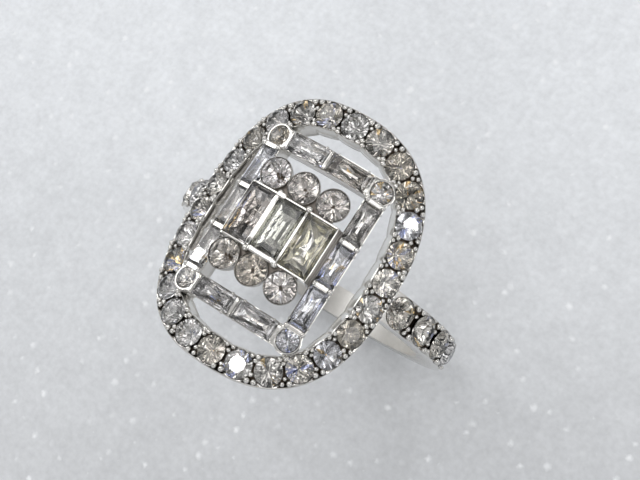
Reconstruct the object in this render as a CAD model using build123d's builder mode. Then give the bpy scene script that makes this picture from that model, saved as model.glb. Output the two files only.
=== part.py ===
from build123d import *
import os
from math import cos, pi, sin

# Cocktail ring: an open oblong halo head of round stones, bent to follow the finger, that carries
# a channel-set frame of baguettes and, above it, a raised cluster of three baguettes and six rounds.
# Millimetres. Origin at the centre of the finger bore, finger axis along Y, head towards +Z.

# Band
BORE_RADIUS = 9.05
BAND_WIDTH = 2.3
SHOULDER_RADIUS = 10.98
BOTTOM_THICKNESS = 1.45       # the lower half thins towards the bottom
BAND_OPENING = 34.5           # degrees each side of the top where the band is cut away under the head
SHOULDER_STONES = 4
SHOULDER_STONE_DIAMETER = 2.2
FIRST_SHOULDER_STONE = 48.7   # degrees from the top
SHOULDER_STONE_STEP = 13.7    # degrees

# Head: every layer is bent round one line, parallel to the finger, at this height
HEAD_AXIS_Z = -1.27
HALO_LEVEL = 12.39            # distance of the stone girdles from that line
FRAME_LEVEL = 13.22
CLUSTER_LEVEL = 14.23

# Halo: a superellipse, measured flat, before the bend
HALO_HALF_WIDTH = 7.19
HALO_HALF_LENGTH = 8.48
HALO_SQUARENESS = 2.54
OUTLINE_POINTS = 48
HALO_STONES = 26
HALO_STONE_DIAMETER = 1.88
RIM_WIDTH = 2.14
RIM_DEPTH = 1.5
RIM_CHAMFER = 0.12
RIM_SECTIONS = 16             # for each half of the rim

# Channel frame
FRAME_HALF_WIDTH = 4.04
FRAME_HALF_LENGTH = 5.5
STRIP_WIDTH = 1.46
STRIP_DEPTH = 1.3
FRAME_BAGUETTE_WIDTH = 1.34
FRAME_BAGUETTE_LENGTH = 2.9
FRAME_PITCH = 3.13
BAR_WIDTH = 0.34
BAR_RISE = 0.16
CORNER_STONE_DIAMETER = 1.45
CORNER_CUP_RADIUS = 0.88
CORNER_CUP_DEPTH = 2.0
LUG_RADIUS = 0.7
LUG_REACH = 0.5

# Centre cluster
COLUMN_PITCH = 2.19
CENTRE_BAGUETTE_WIDTH = 2.08
CENTRE_BAGUETTE_LENGTH = 3.8
CENTRE_BOX_LENGTH = 4.0
CENTRE_BOX_EDGE = 0.04        # metal outside the outer columns
BOX_DEPTH = 1.4
SIDE_WALL_DROP = 0.3
CLUSTER_STONE_DIAMETER = 2.04
CLUSTER_STONE_OFFSET = 3.03
CLUSTER_CUP_RADIUS = 1.11
CLUSTER_CUP_DEPTH = 1.25
WEB_DROP = 0.32
WEB_DEPTH = 0.8

# Stones and their settings
GIRDLE = 0.06
METAL_OVER_GIRDLE = 0.05
SEAT_GAP = 0.02
SEAT_OPENING = 1.0
ROUND_TABLE = 0.58            # share of the diameter
ROUND_CROWN = 0.16
ROUND_PAVILION = 0.42
ROUND_CULET = 0.08
STEP_CROWN = 0.2              # shares of the width
STEP_PAVILION = 0.42
STEP_CROWN_TAPER = 45
STEP_PAVILION_TAPER = 42
BEAD_RADIUS = 0.2
HALO_BEAD_OFFSET = 0.74
SHOULDER_BEAD_OFFSET = 0.86
CENTRE_BEAD_OFFSET = 2.06

UP = (Align.CENTER, Align.CENTER, Align.MIN)
DOWN = (Align.CENTER, Align.CENTER, Align.MAX)

os.makedirs("parts", exist_ok=True)


def save(builder, name):
    """Labels a finished piece and writes it as its own file."""
    builder.part.label = name
    export_step(builder.part, f"parts/{name}.step")


# ---------------------------------------------------------------- places on the bent head

def bent(angle):
    """Tangent and outward normal of the head at an angle round its bending line."""
    return Vector(cos(angle), 0, -sin(angle)), Vector(sin(angle), 0, cos(angle))


def on_head(across, along, level):
    """Plane that lies on the bent head; across is measured round the curve at that level."""
    tangent, normal = bent(across / level)
    origin = Vector(0, along, HEAD_AXIS_Z) + normal * level
    return Plane(origin=origin, x_dir=tangent, z_dir=normal)


def on_band(degrees_from_top):
    """Plane that lies on the shoulder of the band, at an angle from the top of the ring."""
    angle = degrees_from_top * pi / 180
    tangent, normal = bent(angle)
    return Plane(origin=normal * SHOULDER_RADIUS, x_dir=tangent, z_dir=normal)


def halo_point(turn):
    """Point of the flat halo outline, clockwise from its far end."""
    angle = 2 * pi * turn
    across, along = sin(angle), cos(angle)
    power = HALO_SQUARENESS
    reach = (abs(across / HALO_HALF_WIDTH) ** power + abs(along / HALO_HALF_LENGTH) ** power) ** (-1 / power)
    return reach * across, reach * along


with BuildLine() as halo_outline:
    Spline([halo_point(step / OUTLINE_POINTS) for step in range(OUTLINE_POINTS)], periodic=True)
halo_curve = halo_outline.edge()


def rim_section_plane(share):
    """Plane square to the bent rim: its x points out of the halo, its y up out of the head."""
    point = halo_curve.position_at(share)
    run = halo_curve.tangent_at(share)
    tangent, normal = bent(point.X / HALO_LEVEL)
    forward = tangent * run.X + Vector(0, 1, 0) * run.Y
    outward = tangent * -run.Y + Vector(0, 1, 0) * run.X
    origin = Vector(0, point.Y, HEAD_AXIS_Z) + normal * HALO_LEVEL
    return Plane(origin=origin, x_dir=outward, z_dir=forward)


def halo_place(share, offset=0.0):
    """Plane on the halo's surface at a share of the way round, moved outwards by offset."""
    point = halo_curve.position_at(share)
    run = halo_curve.tangent_at(share)
    return on_head(point.X - run.Y * offset, point.Y + run.X * offset, HALO_LEVEL)


# ---------------------------------------------------------------- stones

def round_stone(place, diameter):
    """Round brilliant: a crown, a thin girdle and a pavilion, with the girdle on the plane."""
    radius = diameter / 2
    with BuildPart() as stone:
        with Locations(place):
            Cylinder(radius, GIRDLE)
        with Locations(place.offset(GIRDLE / 2)):
            Cone(radius, ROUND_TABLE * radius, ROUND_CROWN * diameter, align=UP)
        with Locations(place.offset(-GIRDLE / 2)):
            Cone(ROUND_CULET * radius, radius, ROUND_PAVILION * diameter, align=DOWN)
    return stone


def sink_round_seats(places, diameter):
    """Cuts, in the piece being built, a straight bore to the girdle and a cone for the pavilion."""
    radius = diameter / 2
    with Locations(*[place.offset(-GIRDLE / 2) for place in places]):
        Cylinder(radius + SEAT_GAP, SEAT_OPENING, align=UP, mode=Mode.SUBTRACT)
        Cone(ROUND_CULET * radius, radius, ROUND_PAVILION * diameter, align=DOWN, mode=Mode.SUBTRACT)


def pavilion_depth(width, length):
    """Depth of a baguette below its girdle, from its narrow side."""
    return STEP_PAVILION * min(width, length)


def baguette(place, width, length):
    """Step-cut rectangular stone: bevelled crown over a tapering pavilion."""
    with BuildPart() as stone:
        with BuildSketch(place):
            Rectangle(width, length)
        extrude(amount=STEP_CROWN * min(width, length), taper=STEP_CROWN_TAPER)
        with BuildSketch(place):
            Rectangle(width, length)
        extrude(amount=-pavilion_depth(width, length), taper=STEP_PAVILION_TAPER)
    return stone


def sink_baguette_seats(places, width, length):
    """Cuts, in the piece being built, a straight-sided opening and a tapering seat for each."""
    for place in places:
        with BuildSketch(place) as opening:
            Rectangle(width + 2 * SEAT_GAP, length + 2 * SEAT_GAP)
        extrude(opening.sketch, amount=SEAT_OPENING, mode=Mode.SUBTRACT)
        with BuildSketch(place) as seat:
            Rectangle(width, length)
        extrude(seat.sketch, amount=-pavilion_depth(width, length), taper=STEP_PAVILION_TAPER,
                mode=Mode.SUBTRACT)


def raise_beads(places):
    """Adds a small round prong bead at each place of the piece being built."""
    with Locations(*places):
        Sphere(BEAD_RADIUS)


def bent_block(inner, outer, start, end, low, high):
    """Adds a block bent round the head line, between two radii, two angles and two Y places."""
    with BuildSketch(Plane.XZ.offset(-high)) as section:
        with BuildLine():
            arcs = [
                [(radius * sin(angle), HEAD_AXIS_Z + radius * cos(angle))
                 for angle in (start, (start + end) / 2, end)]
                for radius in (inner, outer)
            ]
            ThreePointArc(*arcs[0])
            ThreePointArc(*arcs[1])
            Line(arcs[0][0], arcs[1][0])
            Line(arcs[0][2], arcs[1][2])
        make_face()
    extrude(section.sketch, amount=high - low)


# ---------------------------------------------------------------- where the stones sit

halo_places = [halo_place(number / HALO_STONES) for number in range(HALO_STONES)]
halo_bead_places = [
    halo_place((number + 0.5) / HALO_STONES, side * HALO_BEAD_OFFSET).offset(METAL_OVER_GIRDLE)
    for number in range(HALO_STONES) for side in (-1, 1)
]
long_side_places = [
    on_head(side * FRAME_HALF_WIDTH, step * FRAME_PITCH, FRAME_LEVEL)
    for side in (-1, 1) for step in (1, 0, -1)
]
short_side_places = [
    on_head(step * FRAME_PITCH, side * FRAME_HALF_LENGTH, FRAME_LEVEL)
    for side in (-1, 1) for step in (-0.5, 0.5)
]
corner_places = [
    on_head(across * FRAME_HALF_WIDTH, along * FRAME_HALF_LENGTH, FRAME_LEVEL)
    for across in (-1, 1) for along in (-1, 1)
]
centre_places = [on_head(column * COLUMN_PITCH, 0, CLUSTER_LEVEL) for column in (-1, 0, 1)]
cluster_places = [
    on_head(column * COLUMN_PITCH, side * CLUSTER_STONE_OFFSET, CLUSTER_LEVEL)
    for side in (-1, 1) for column in (-1, 0, 1)
]
shoulder_angles = [FIRST_SHOULDER_STONE + step * SHOULDER_STONE_STEP for step in range(SHOULDER_STONES)]


# ---------------------------------------------------------------- halo rim

rim_top = METAL_OVER_GIRDLE
rim_bottom = rim_top - RIM_DEPTH
rim_half = RIM_WIDTH / 2
rim_profile = [
    (-rim_half, rim_bottom),
    (-rim_half, rim_top - RIM_CHAMFER),
    (-rim_half + RIM_CHAMFER, rim_top),
    (rim_half - RIM_CHAMFER, rim_top),
    (rim_half, rim_top - RIM_CHAMFER),
    (rim_half, rim_bottom),
]

with BuildPart() as halo_rim:
    for half in (0, 1):
        for section in range(RIM_SECTIONS + 1):
            with BuildSketch(rim_section_plane((half + section / RIM_SECTIONS) / 2)):
                with BuildLine():
                    Polyline(*rim_profile, close=True)
                make_face()
        loft()
    rim_blank = halo_rim.part
    raise_beads(halo_bead_places)
    sink_round_seats(halo_places, HALO_STONE_DIAMETER)
save(halo_rim, "halo_rim")


# ---------------------------------------------------------------- channel frame

frame_top = FRAME_LEVEL + METAL_OVER_GIRDLE
frame_bottom = frame_top - STRIP_DEPTH
frame_angle = FRAME_HALF_WIDTH / FRAME_LEVEL
strip_angle = STRIP_WIDTH / 2 / FRAME_LEVEL
bar_angle = BAR_WIDTH / 2 / FRAME_LEVEL
half_strip = STRIP_WIDTH / 2

with BuildPart() as channel_frame:
    for side in (-1, 1):
        middle = side * frame_angle
        bent_block(frame_bottom, frame_top, middle - strip_angle, middle + strip_angle,
                   -FRAME_HALF_LENGTH, FRAME_HALF_LENGTH)
        middle = side * FRAME_HALF_LENGTH
        bent_block(frame_bottom, frame_top, -frame_angle, frame_angle,
                   middle - half_strip, middle + half_strip)
    with Locations(*[place.offset(METAL_OVER_GIRDLE) for place in corner_places]):
        Cylinder(CORNER_CUP_RADIUS, CORNER_CUP_DEPTH, align=DOWN)
    # Lugs, lower down, that carry each corner onto the inside of the halo
    lug_places = [
        on_head(across * (FRAME_HALF_WIDTH + LUG_REACH), along * (FRAME_HALF_LENGTH + LUG_REACH), FRAME_LEVEL)
        for across in (-1, 1) for along in (-1, 1)
    ]
    with Locations(*[place.offset(-(FRAME_LEVEL - HALO_LEVEL)) for place in lug_places]):
        Cylinder(LUG_RADIUS, CORNER_CUP_DEPTH / 2, align=DOWN)
    # Raised bars between the stones
    for step in (-1.5, -0.5, 0.5, 1.5):
        for side in (-1, 1):
            middle = side * frame_angle
            bent_block(frame_top - BAR_WIDTH, frame_top + BAR_RISE, middle - strip_angle, middle + strip_angle,
                       step * FRAME_PITCH - BAR_WIDTH / 2, step * FRAME_PITCH + BAR_WIDTH / 2)
    for step in (-1, 0, 1):
        for side in (-1, 1):
            middle = step * FRAME_PITCH / FRAME_LEVEL
            bent_block(frame_top - BAR_WIDTH, frame_top + BAR_RISE, middle - bar_angle, middle + bar_angle,
                       side * FRAME_HALF_LENGTH - half_strip, side * FRAME_HALF_LENGTH + half_strip)
    sink_round_seats(corner_places, CORNER_STONE_DIAMETER)
    sink_baguette_seats(long_side_places, FRAME_BAGUETTE_WIDTH, FRAME_BAGUETTE_LENGTH)
    sink_baguette_seats(short_side_places, FRAME_BAGUETTE_LENGTH, FRAME_BAGUETTE_WIDTH)
    # The corners end flat against the halo and clear of its stones
    add(rim_blank, mode=Mode.SUBTRACT)
    sink_round_seats(halo_places, HALO_STONE_DIAMETER)
save(channel_frame, "channel_frame")


# ---------------------------------------------------------------- raised centre head

box_top = CLUSTER_LEVEL + METAL_OVER_GIRDLE
box_angle = (1.5 * COLUMN_PITCH + CENTRE_BOX_EDGE) / CLUSTER_LEVEL
inner_wall_angle = frame_angle - strip_angle
web_top = box_top - WEB_DROP
web_angle = (COLUMN_PITCH + CLUSTER_CUP_RADIUS / 2) / CLUSTER_LEVEL
half_box = CENTRE_BOX_LENGTH / 2

with BuildPart() as centre_head:
    bent_block(box_top - BOX_DEPTH, box_top, -box_angle, box_angle, -half_box, half_box)
    # Stepped side walls, soldered flat against the inside of the frame's long sides
    bent_block(frame_bottom, box_top - SIDE_WALL_DROP, -inner_wall_angle, -box_angle, -half_box, half_box)
    bent_block(frame_bottom, box_top - SIDE_WALL_DROP, box_angle, inner_wall_angle, -half_box, half_box)
    # Sunk web that joins the cups to each other and to the box
    bent_block(web_top - WEB_DEPTH, web_top, -web_angle, web_angle, -CLUSTER_STONE_OFFSET, CLUSTER_STONE_OFFSET)
    with Locations(*[place.offset(METAL_OVER_GIRDLE) for place in cluster_places]):
        Cylinder(CLUSTER_CUP_RADIUS, CLUSTER_CUP_DEPTH, align=DOWN)
    raise_beads([
        on_head(column * COLUMN_PITCH, side * CENTRE_BEAD_OFFSET, CLUSTER_LEVEL)
        for column in (-0.5, 0.5) for side in (-1, 1)
    ])
    sink_round_seats(cluster_places, CLUSTER_STONE_DIAMETER)
    sink_baguette_seats(centre_places, CENTRE_BAGUETTE_WIDTH, CENTRE_BAGUETTE_LENGTH)
save(centre_head, "centre_head")


# ---------------------------------------------------------------- band

def band_point(radius, degrees_from_top):
    """Point on the side view of the band."""
    angle = degrees_from_top * pi / 180
    return radius * sin(angle), radius * cos(angle)


bottom_radius = BORE_RADIUS + BOTTOM_THICKNESS

with BuildPart() as band:
    with BuildSketch(Plane.XZ):
        with BuildLine():
            ThreePointArc(*[band_point(BORE_RADIUS, angle) for angle in (BAND_OPENING, 180, -BAND_OPENING)])
            for sign in (-1, 1):
                Line(band_point(BORE_RADIUS, sign * BAND_OPENING), band_point(SHOULDER_RADIUS, sign * BAND_OPENING))
                ThreePointArc(*[
                    band_point(SHOULDER_RADIUS, sign * angle)
                    for angle in (BAND_OPENING, (BAND_OPENING + 90) / 2, 90)
                ])
            EllipticalCenterArc((0, 0), SHOULDER_RADIUS, bottom_radius, start_angle=180, arc_size=180)
        make_face()
    extrude(amount=BAND_WIDTH / 2, both=True)
    bead_places = [
        on_band(side * (angle + SHOULDER_STONE_STEP / 2)) for angle in shoulder_angles for side in (-1, 1)
    ]
    for edge in (-1, 1):
        raise_beads([place.shift_origin(place.from_local_coords((0, edge * SHOULDER_BEAD_OFFSET, 0)))
                     for place in bead_places])
    sink_round_seats([on_band(side * angle) for angle in shoulder_angles for side in (-1, 1)],
                     SHOULDER_STONE_DIAMETER)
    # The ends of the band fit against the underside of the halo
    add(rim_blank, mode=Mode.SUBTRACT)
save(band, "band")


# ---------------------------------------------------------------- write the stones

for number, place in enumerate(halo_places, start=1):
    save(round_stone(place, HALO_STONE_DIAMETER), f"halo_stone_{number:02d}")

for number, place in enumerate(long_side_places, start=1):
    save(baguette(place, FRAME_BAGUETTE_WIDTH, FRAME_BAGUETTE_LENGTH), f"frame_baguette_{number:02d}")

for number, place in enumerate(short_side_places, start=len(long_side_places) + 1):
    save(baguette(place, FRAME_BAGUETTE_LENGTH, FRAME_BAGUETTE_WIDTH), f"frame_baguette_{number:02d}")

for name, place in zip(("left", "middle", "right"), centre_places):
    save(baguette(place, CENTRE_BAGUETTE_WIDTH, CENTRE_BAGUETTE_LENGTH), f"centre_baguette_{name}")

for number, place in enumerate(cluster_places, start=1):
    save(round_stone(place, CLUSTER_STONE_DIAMETER), f"cluster_stone_{number:02d}")

for number, angle in enumerate(shoulder_angles, start=1):
    save(round_stone(on_band(-angle), SHOULDER_STONE_DIAMETER), f"shoulder_stone_left_{number}")
    save(round_stone(on_band(angle), SHOULDER_STONE_DIAMETER), f"shoulder_stone_right_{number}")

# The four small corner stones are alike and share one file
with BuildPart() as corner_stones:
    for place in corner_places:
        add(round_stone(place, CORNER_STONE_DIAMETER).part)
save(corner_stones, "corner_stones")
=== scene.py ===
"""Cocktail ring: an open oblong halo of round rhinestones, bent to the finger, round a channel-set frame of
baguettes and a raised centre of three baguettes and six rounds, on a band with stone-set shoulders."""

import bisect
import math
import random

import bmesh
import bpy
from mathutils import Matrix, Vector


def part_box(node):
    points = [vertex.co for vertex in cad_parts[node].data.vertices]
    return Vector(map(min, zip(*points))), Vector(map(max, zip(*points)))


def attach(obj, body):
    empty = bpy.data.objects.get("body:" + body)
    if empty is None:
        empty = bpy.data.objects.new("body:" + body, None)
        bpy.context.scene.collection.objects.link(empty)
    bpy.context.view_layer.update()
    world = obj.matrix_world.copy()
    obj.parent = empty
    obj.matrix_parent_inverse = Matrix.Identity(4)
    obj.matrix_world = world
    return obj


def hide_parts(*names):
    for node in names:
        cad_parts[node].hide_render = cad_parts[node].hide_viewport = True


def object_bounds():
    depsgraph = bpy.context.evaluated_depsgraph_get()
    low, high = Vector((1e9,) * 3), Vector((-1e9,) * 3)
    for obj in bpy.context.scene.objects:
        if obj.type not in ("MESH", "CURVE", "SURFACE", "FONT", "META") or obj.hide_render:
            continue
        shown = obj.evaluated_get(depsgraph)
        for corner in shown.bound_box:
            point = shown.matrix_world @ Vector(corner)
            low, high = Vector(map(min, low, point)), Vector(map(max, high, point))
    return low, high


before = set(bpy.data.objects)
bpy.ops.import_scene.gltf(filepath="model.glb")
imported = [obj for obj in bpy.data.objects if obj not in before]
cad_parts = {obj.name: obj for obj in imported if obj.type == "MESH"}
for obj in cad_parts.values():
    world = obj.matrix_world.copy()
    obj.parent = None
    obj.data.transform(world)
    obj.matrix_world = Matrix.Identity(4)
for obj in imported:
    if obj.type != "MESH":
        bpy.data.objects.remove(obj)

cad_box = [list(corner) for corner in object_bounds()]

bl_info = {
    "name": "Rhinestone cocktail ring",
    "version": (1, 0, 0),
    "blender": (4, 5, 0),
    "location": "View3D > Sidebar > Ring",
    "description": "Builds a rhodium-plated cocktail ring with a halo, a channel frame and a raised centre",
    "category": "Object",
}

MM = 0.001
BODY = "root"
# Room round a stone in its seat, where it is cemented and where it is pressed in
SEAT_PLAY = 0.02 * MM
TIGHT_PLAY = 0.01 * MM
# Bevel round the top of the centre's box
BOX_BEVEL = 0.03 * MM
# Points along each side of the patch of metal round one stone
CELL_STEPS = 8
# How far the metal falls away between two round stones
VALLEY = 0.34 * MM
# Metal that lies this far below the edges is fully covered by the dull film and its painted shade
FILM_AND_SHADE_DEPTH = 0.24 * MM
# Added to the stones' seed, so that each kind of stone is cut and set in its own way
LOTS = {"frame": 1, "corner": 2, "cluster": 4, "shoulder": 5, "centre": 43}
# Beads are raised by hand with a graver, so they drift a little from their places
BEAD_DRIFT = 0.035 * MM


def linear(hex_colour):
    """Turns an sRGB hex colour into the linear values that the shaders take."""
    channels = [int(hex_colour[start:start + 2], 16) / 255 for start in (1, 3, 5)]
    return [c / 12.92 if c <= 0.04045 else ((c + 0.055) / 1.055) ** 2.4 for c in channels]


def length(name, description, millimetres):
    """A length property with its default in millimetres."""
    return bpy.props.FloatProperty(name=name, description=description, default=millimetres * MM,
                                   unit="LENGTH", subtype="DISTANCE", precision=5)


def angle(name, description, degrees):
    """An angle property with its default in degrees."""
    return bpy.props.FloatProperty(name=name, description=description, default=math.radians(degrees),
                                   unit="ROTATION", subtype="ANGLE")


def share(name, description, value):
    """A property that is a share of some other size."""
    return bpy.props.FloatProperty(name=name, description=description, default=value, subtype="FACTOR",
                                   min=0, max=2)


def count(name, description, value):
    """A property that counts pieces."""
    return bpy.props.IntProperty(name=name, description=description, default=value, min=1)


def colour(name, description, hex_colour):
    """A colour property with its default as sRGB hex."""
    return bpy.props.FloatVectorProperty(name=name, description=description, size=3, subtype="COLOR",
                                         default=linear(hex_colour), min=0, max=1)


# ---------------------------------------------------------------- settings

class BandSettings(bpy.types.PropertyGroup):
    """Sizes of the band and of its stone-set shoulders."""
    bore_radius: length("Bore radius", "Inside radius of the band", 9.05)
    width: length("Width", "Width of the band along the finger", 2.3)
    shoulder_radius: length("Shoulder radius", "Outside radius of the upper half", 10.98)
    bottom_thickness: length("Bottom thickness", "Thickness at the bottom of the finger", 1.448)
    opening: angle("Opening", "Angle from the top at which the band starts, under the halo", 34.5)
    stones: count("Stones", "Round stones in each shoulder", 4)
    stone_diameter: length("Stone diameter", "Diameter of a shoulder stone", 2.2)
    first_stone: angle("First stone", "Angle of the first stone from the top", 48.7)
    stone_step: angle("Stone step", "Angle from one stone to the next", 13.7)
    bead_radius: length("Bead radius", "Radius of a bead between two stones", 0.22)
    bead_offset: length("Bead offset", "Distance of the beads from the middle line", 0.92)
    bead_spread: length("Bead spread", "Half the distance between the two beads of a pair", 0.24)


class HaloSettings(bpy.types.PropertyGroup):
    """Sizes of the oblong halo."""
    level: length("Level", "Distance of the girdles from the line that the head is bent round", 12.39)
    half_width: length("Half width", "Half of the stone outline across the finger", 7.19)
    half_length: length("Half length", "Half of the stone outline along the finger", 8.48)
    squareness: bpy.props.FloatProperty(name="Squareness", description="Power of the superellipse",
                                        default=2.54, min=2, max=6)
    stones: count("Stones", "Round stones in the halo", 26)
    stone_diameter: length("Stone diameter", "Diameter of a halo stone", 1.88)
    rim_width: length("Rim width", "Width of the metal rim", 2.14)
    rim_depth: length("Rim depth", "Depth of the metal rim", 1.5)
    rail: length("Rail", "Width of the plain rail that the outer beads stand inside", 0.12)
    waist: length("Waist", "How far the rim's inner side draws in between two stones", 0.11)
    bead_radius: length("Bead radius", "Radius of a bead between two stones", 0.22)
    bead_offset: length("Bead offset", "Distance of the beads from the stone outline", 0.85)
    bead_spread: length("Bead spread", "Half the distance between the two beads of a pair", 0.2)


class FrameSettings(bpy.types.PropertyGroup):
    """Sizes of the channel frame."""
    level: length("Level", "Distance of the girdles from the line that the head is bent round", 13.22)
    half_width: length("Half width", "Distance of the long sides from the middle", 4.04)
    half_length: length("Half length", "Distance of the short sides from the middle", 5.5)
    strip_width: length("Strip width", "Width of a channel with its two rails", 1.46)
    strip_depth: length("Strip depth", "Depth of a channel", 1.3)
    stone_width: length("Baguette width", "Width of a frame baguette", 1.34)
    stone_length: length("Baguette length", "Length of a frame baguette", 2.9)
    pitch: length("Pitch", "Distance from one baguette to the next", 3.13)
    bar_width: length("Bar width", "Width of a bar between two baguettes of a long side", 0.38)
    slim_bar_width: length("Slim bar width", "Width of a bar in a short side", 0.24)
    prong_radius: length("Prong radius", "Radius of a small prong on the rails", 0.12)
    head_radius: length("Head radius", "Radius of the rounded ends of the broad bars", 0.23)
    corner_diameter: length("Corner stone", "Diameter of a corner stone", 1.45)
    cup_radius: length("Corner cup", "Outside radius of a corner cup", 0.86)
    post_depth: length("Post depth", "Depth of the post under a corner", 1.95)


class CentreSettings(bpy.types.PropertyGroup):
    """Sizes of the raised centre."""
    level: length("Level", "Distance of the girdles from the line that the head is bent round", 14.23)
    pitch: length("Column pitch", "Distance from one column to the next", 2.19)
    stone_width: length("Baguette width", "Width of a centre baguette", 2.08)
    stone_length: length("Baguette length", "Length of a centre baguette", 3.8)
    box_length: length("Box length", "Length of the box that holds the baguettes", 4.0)
    box_edge: length("Box edge", "Metal outside the outer columns", 0.04)
    box_depth: length("Box depth", "Depth of the box", 1.4)
    bezel_width: length("Bezel width", "Width of the bright bar round the middle baguette", 0.38)
    round_diameter: length("Round diameter", "Diameter of a cluster round", 2.04)
    round_offset: length("Round offset", "Distance of the rounds from the middle", 3.03)
    cup_radius: length("Cup radius", "Outside radius of a round's cup", 1.1)
    cup_depth: length("Cup depth", "Depth of a round's cup", 1.25)


class StoneSettings(bpy.types.PropertyGroup):
    """Cut of the stones."""
    axis_height: length("Bend line height", "Height of the line that the head is bent round", -1.27)
    fit: share("Fit", "Diameter of a stone as a share of its seat's", 0.985)
    girdle: length("Girdle", "Thickness of the girdle", 0.06)
    metal_rise: length("Metal rise", "Height of the metal above the girdles", 0.05)
    table: share("Table", "Width of a round's table as a share of its diameter", 0.58)
    crown: share("Crown", "Height of a round's crown as a share of its diameter", 0.16)
    pavilion: share("Pavilion", "Depth of a round's pavilion as a share of its diameter", 0.42)
    step_crown: share("Step crown", "Height of a baguette's crown as a share of its width", 0.19)
    step_pavilion: share("Step pavilion", "Depth of a baguette's pavilion as a share of its width", 0.4)
    seed: count("Seed", "Seed of the small differences between stones", 7)


class FinishSettings(bpy.types.PropertyGroup):
    """Colours of the plating, the glass and the foil."""
    plating: colour("Plating", "Polished rhodium plate", "#E2E0DC")
    # Colour of the deep places: a dull film there, and also the painted shade there
    residue_and_painted_shade: colour("Residue", "Dull film that stays in the deep places", "#4F453C")
    crystal: colour("Crystal", "Lead crystal glass", "#F7F6F4")
    foil: colour("Foil", "Silvered backing of the rounds", "#F1F1F0")
    violet_foil: colour("Frame foil", "Silvered backing of the frame baguettes", "#EFF0F3")
    grey_foil: colour("Left foil", "Silvered backing of the left centre baguette", "#C9C3BD")
    blue_foil: colour("Middle foil", "Silvered backing of the middle centre baguette", "#E3E5E0")
    olive_foil: colour("Right foil", "Silvered backing of the right centre baguette", "#C8C5B2")
    brown_foil: colour("Cluster foil", "Silvered backing of the cluster rounds", "#F4F1ED")
    # The floor is painted lighter towards one side and darker towards the other, as painted light and shade
    floor: colour("Floor", "Pale foam sheet where it is brightest", "#F0F3F7")
    shaded_floor: colour("Dull floor", "The same sheet at its duller side", "#D8DADD")


class StudioSettings(bpy.types.PropertyGroup):
    """Camera and floor."""
    lens: bpy.props.FloatProperty(name="Lens", description="Focal length", default=62.894, unit="CAMERA")
    aim: bpy.props.FloatVectorProperty(name="Aim", description="Point that the camera looks at", size=3,
                                       subtype="XYZ", unit="LENGTH",
                                       default=(2.1065 * MM, 0.9888 * MM, 11 * MM))
    distance: length("Distance", "Distance of the camera from that point", 70.742)
    azimuth: angle("Azimuth", "Turn of the camera round the ring from the right", -21.983)
    elevation: angle("Elevation", "Height of the camera above the horizon", 71.2665)
    roll: angle("Roll", "Turn of the camera about its own axis", -36.41)
    floor_size: length("Floor size", "Side of the floor", 3000)


SETTINGS = {
    "ring_band": BandSettings,
    "ring_halo": HaloSettings,
    "ring_frame": FrameSettings,
    "ring_centre": CentreSettings,
    "ring_stones": StoneSettings,
    "ring_finish": FinishSettings,
    "ring_studio": StudioSettings,
}


# ---------------------------------------------------------------- nodes

def add(tree, kind, inputs=None, **settings):
    """Adds a node, sets its properties and fills its inputs: a socket is linked, a node is linked by its
    first output in use, and anything else is a value."""
    node = tree.nodes.new(kind)
    for name, value in settings.items():
        setattr(node, name, value)
    for key, value in (inputs or {}).items():
        if isinstance(value, bpy.types.Node):
            value = next(output for output in value.outputs if output.enabled)
        if isinstance(value, bpy.types.NodeSocket):
            tree.links.new(value, node.inputs[key])
        else:
            node.inputs[key].default_value = value
    return node


def new_material(name):
    """Makes an empty material; returns it with its tree."""
    material = bpy.data.materials.new(name)
    material.use_nodes = True
    material.node_tree.nodes.clear()
    return material, material.node_tree


def ramp(node, stops):
    """Sets a colour ramp's stops from (position, colour) pairs."""
    elements = node.color_ramp.elements
    while len(elements) < len(stops):
        elements.new(0.5)
    for element, (position, value) in zip(elements, stops):
        element.position = position
        element.color = opaque(value)


def grey(value):
    """A grey with the same value in each channel."""
    return (value, value, value)


def opaque(tint, part=1.0):
    """A colour socket's value for a tint, or for a part of its brightness."""
    return (*[c * part for c in tint], 1)


# ---------------------------------------------------------------- materials

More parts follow.
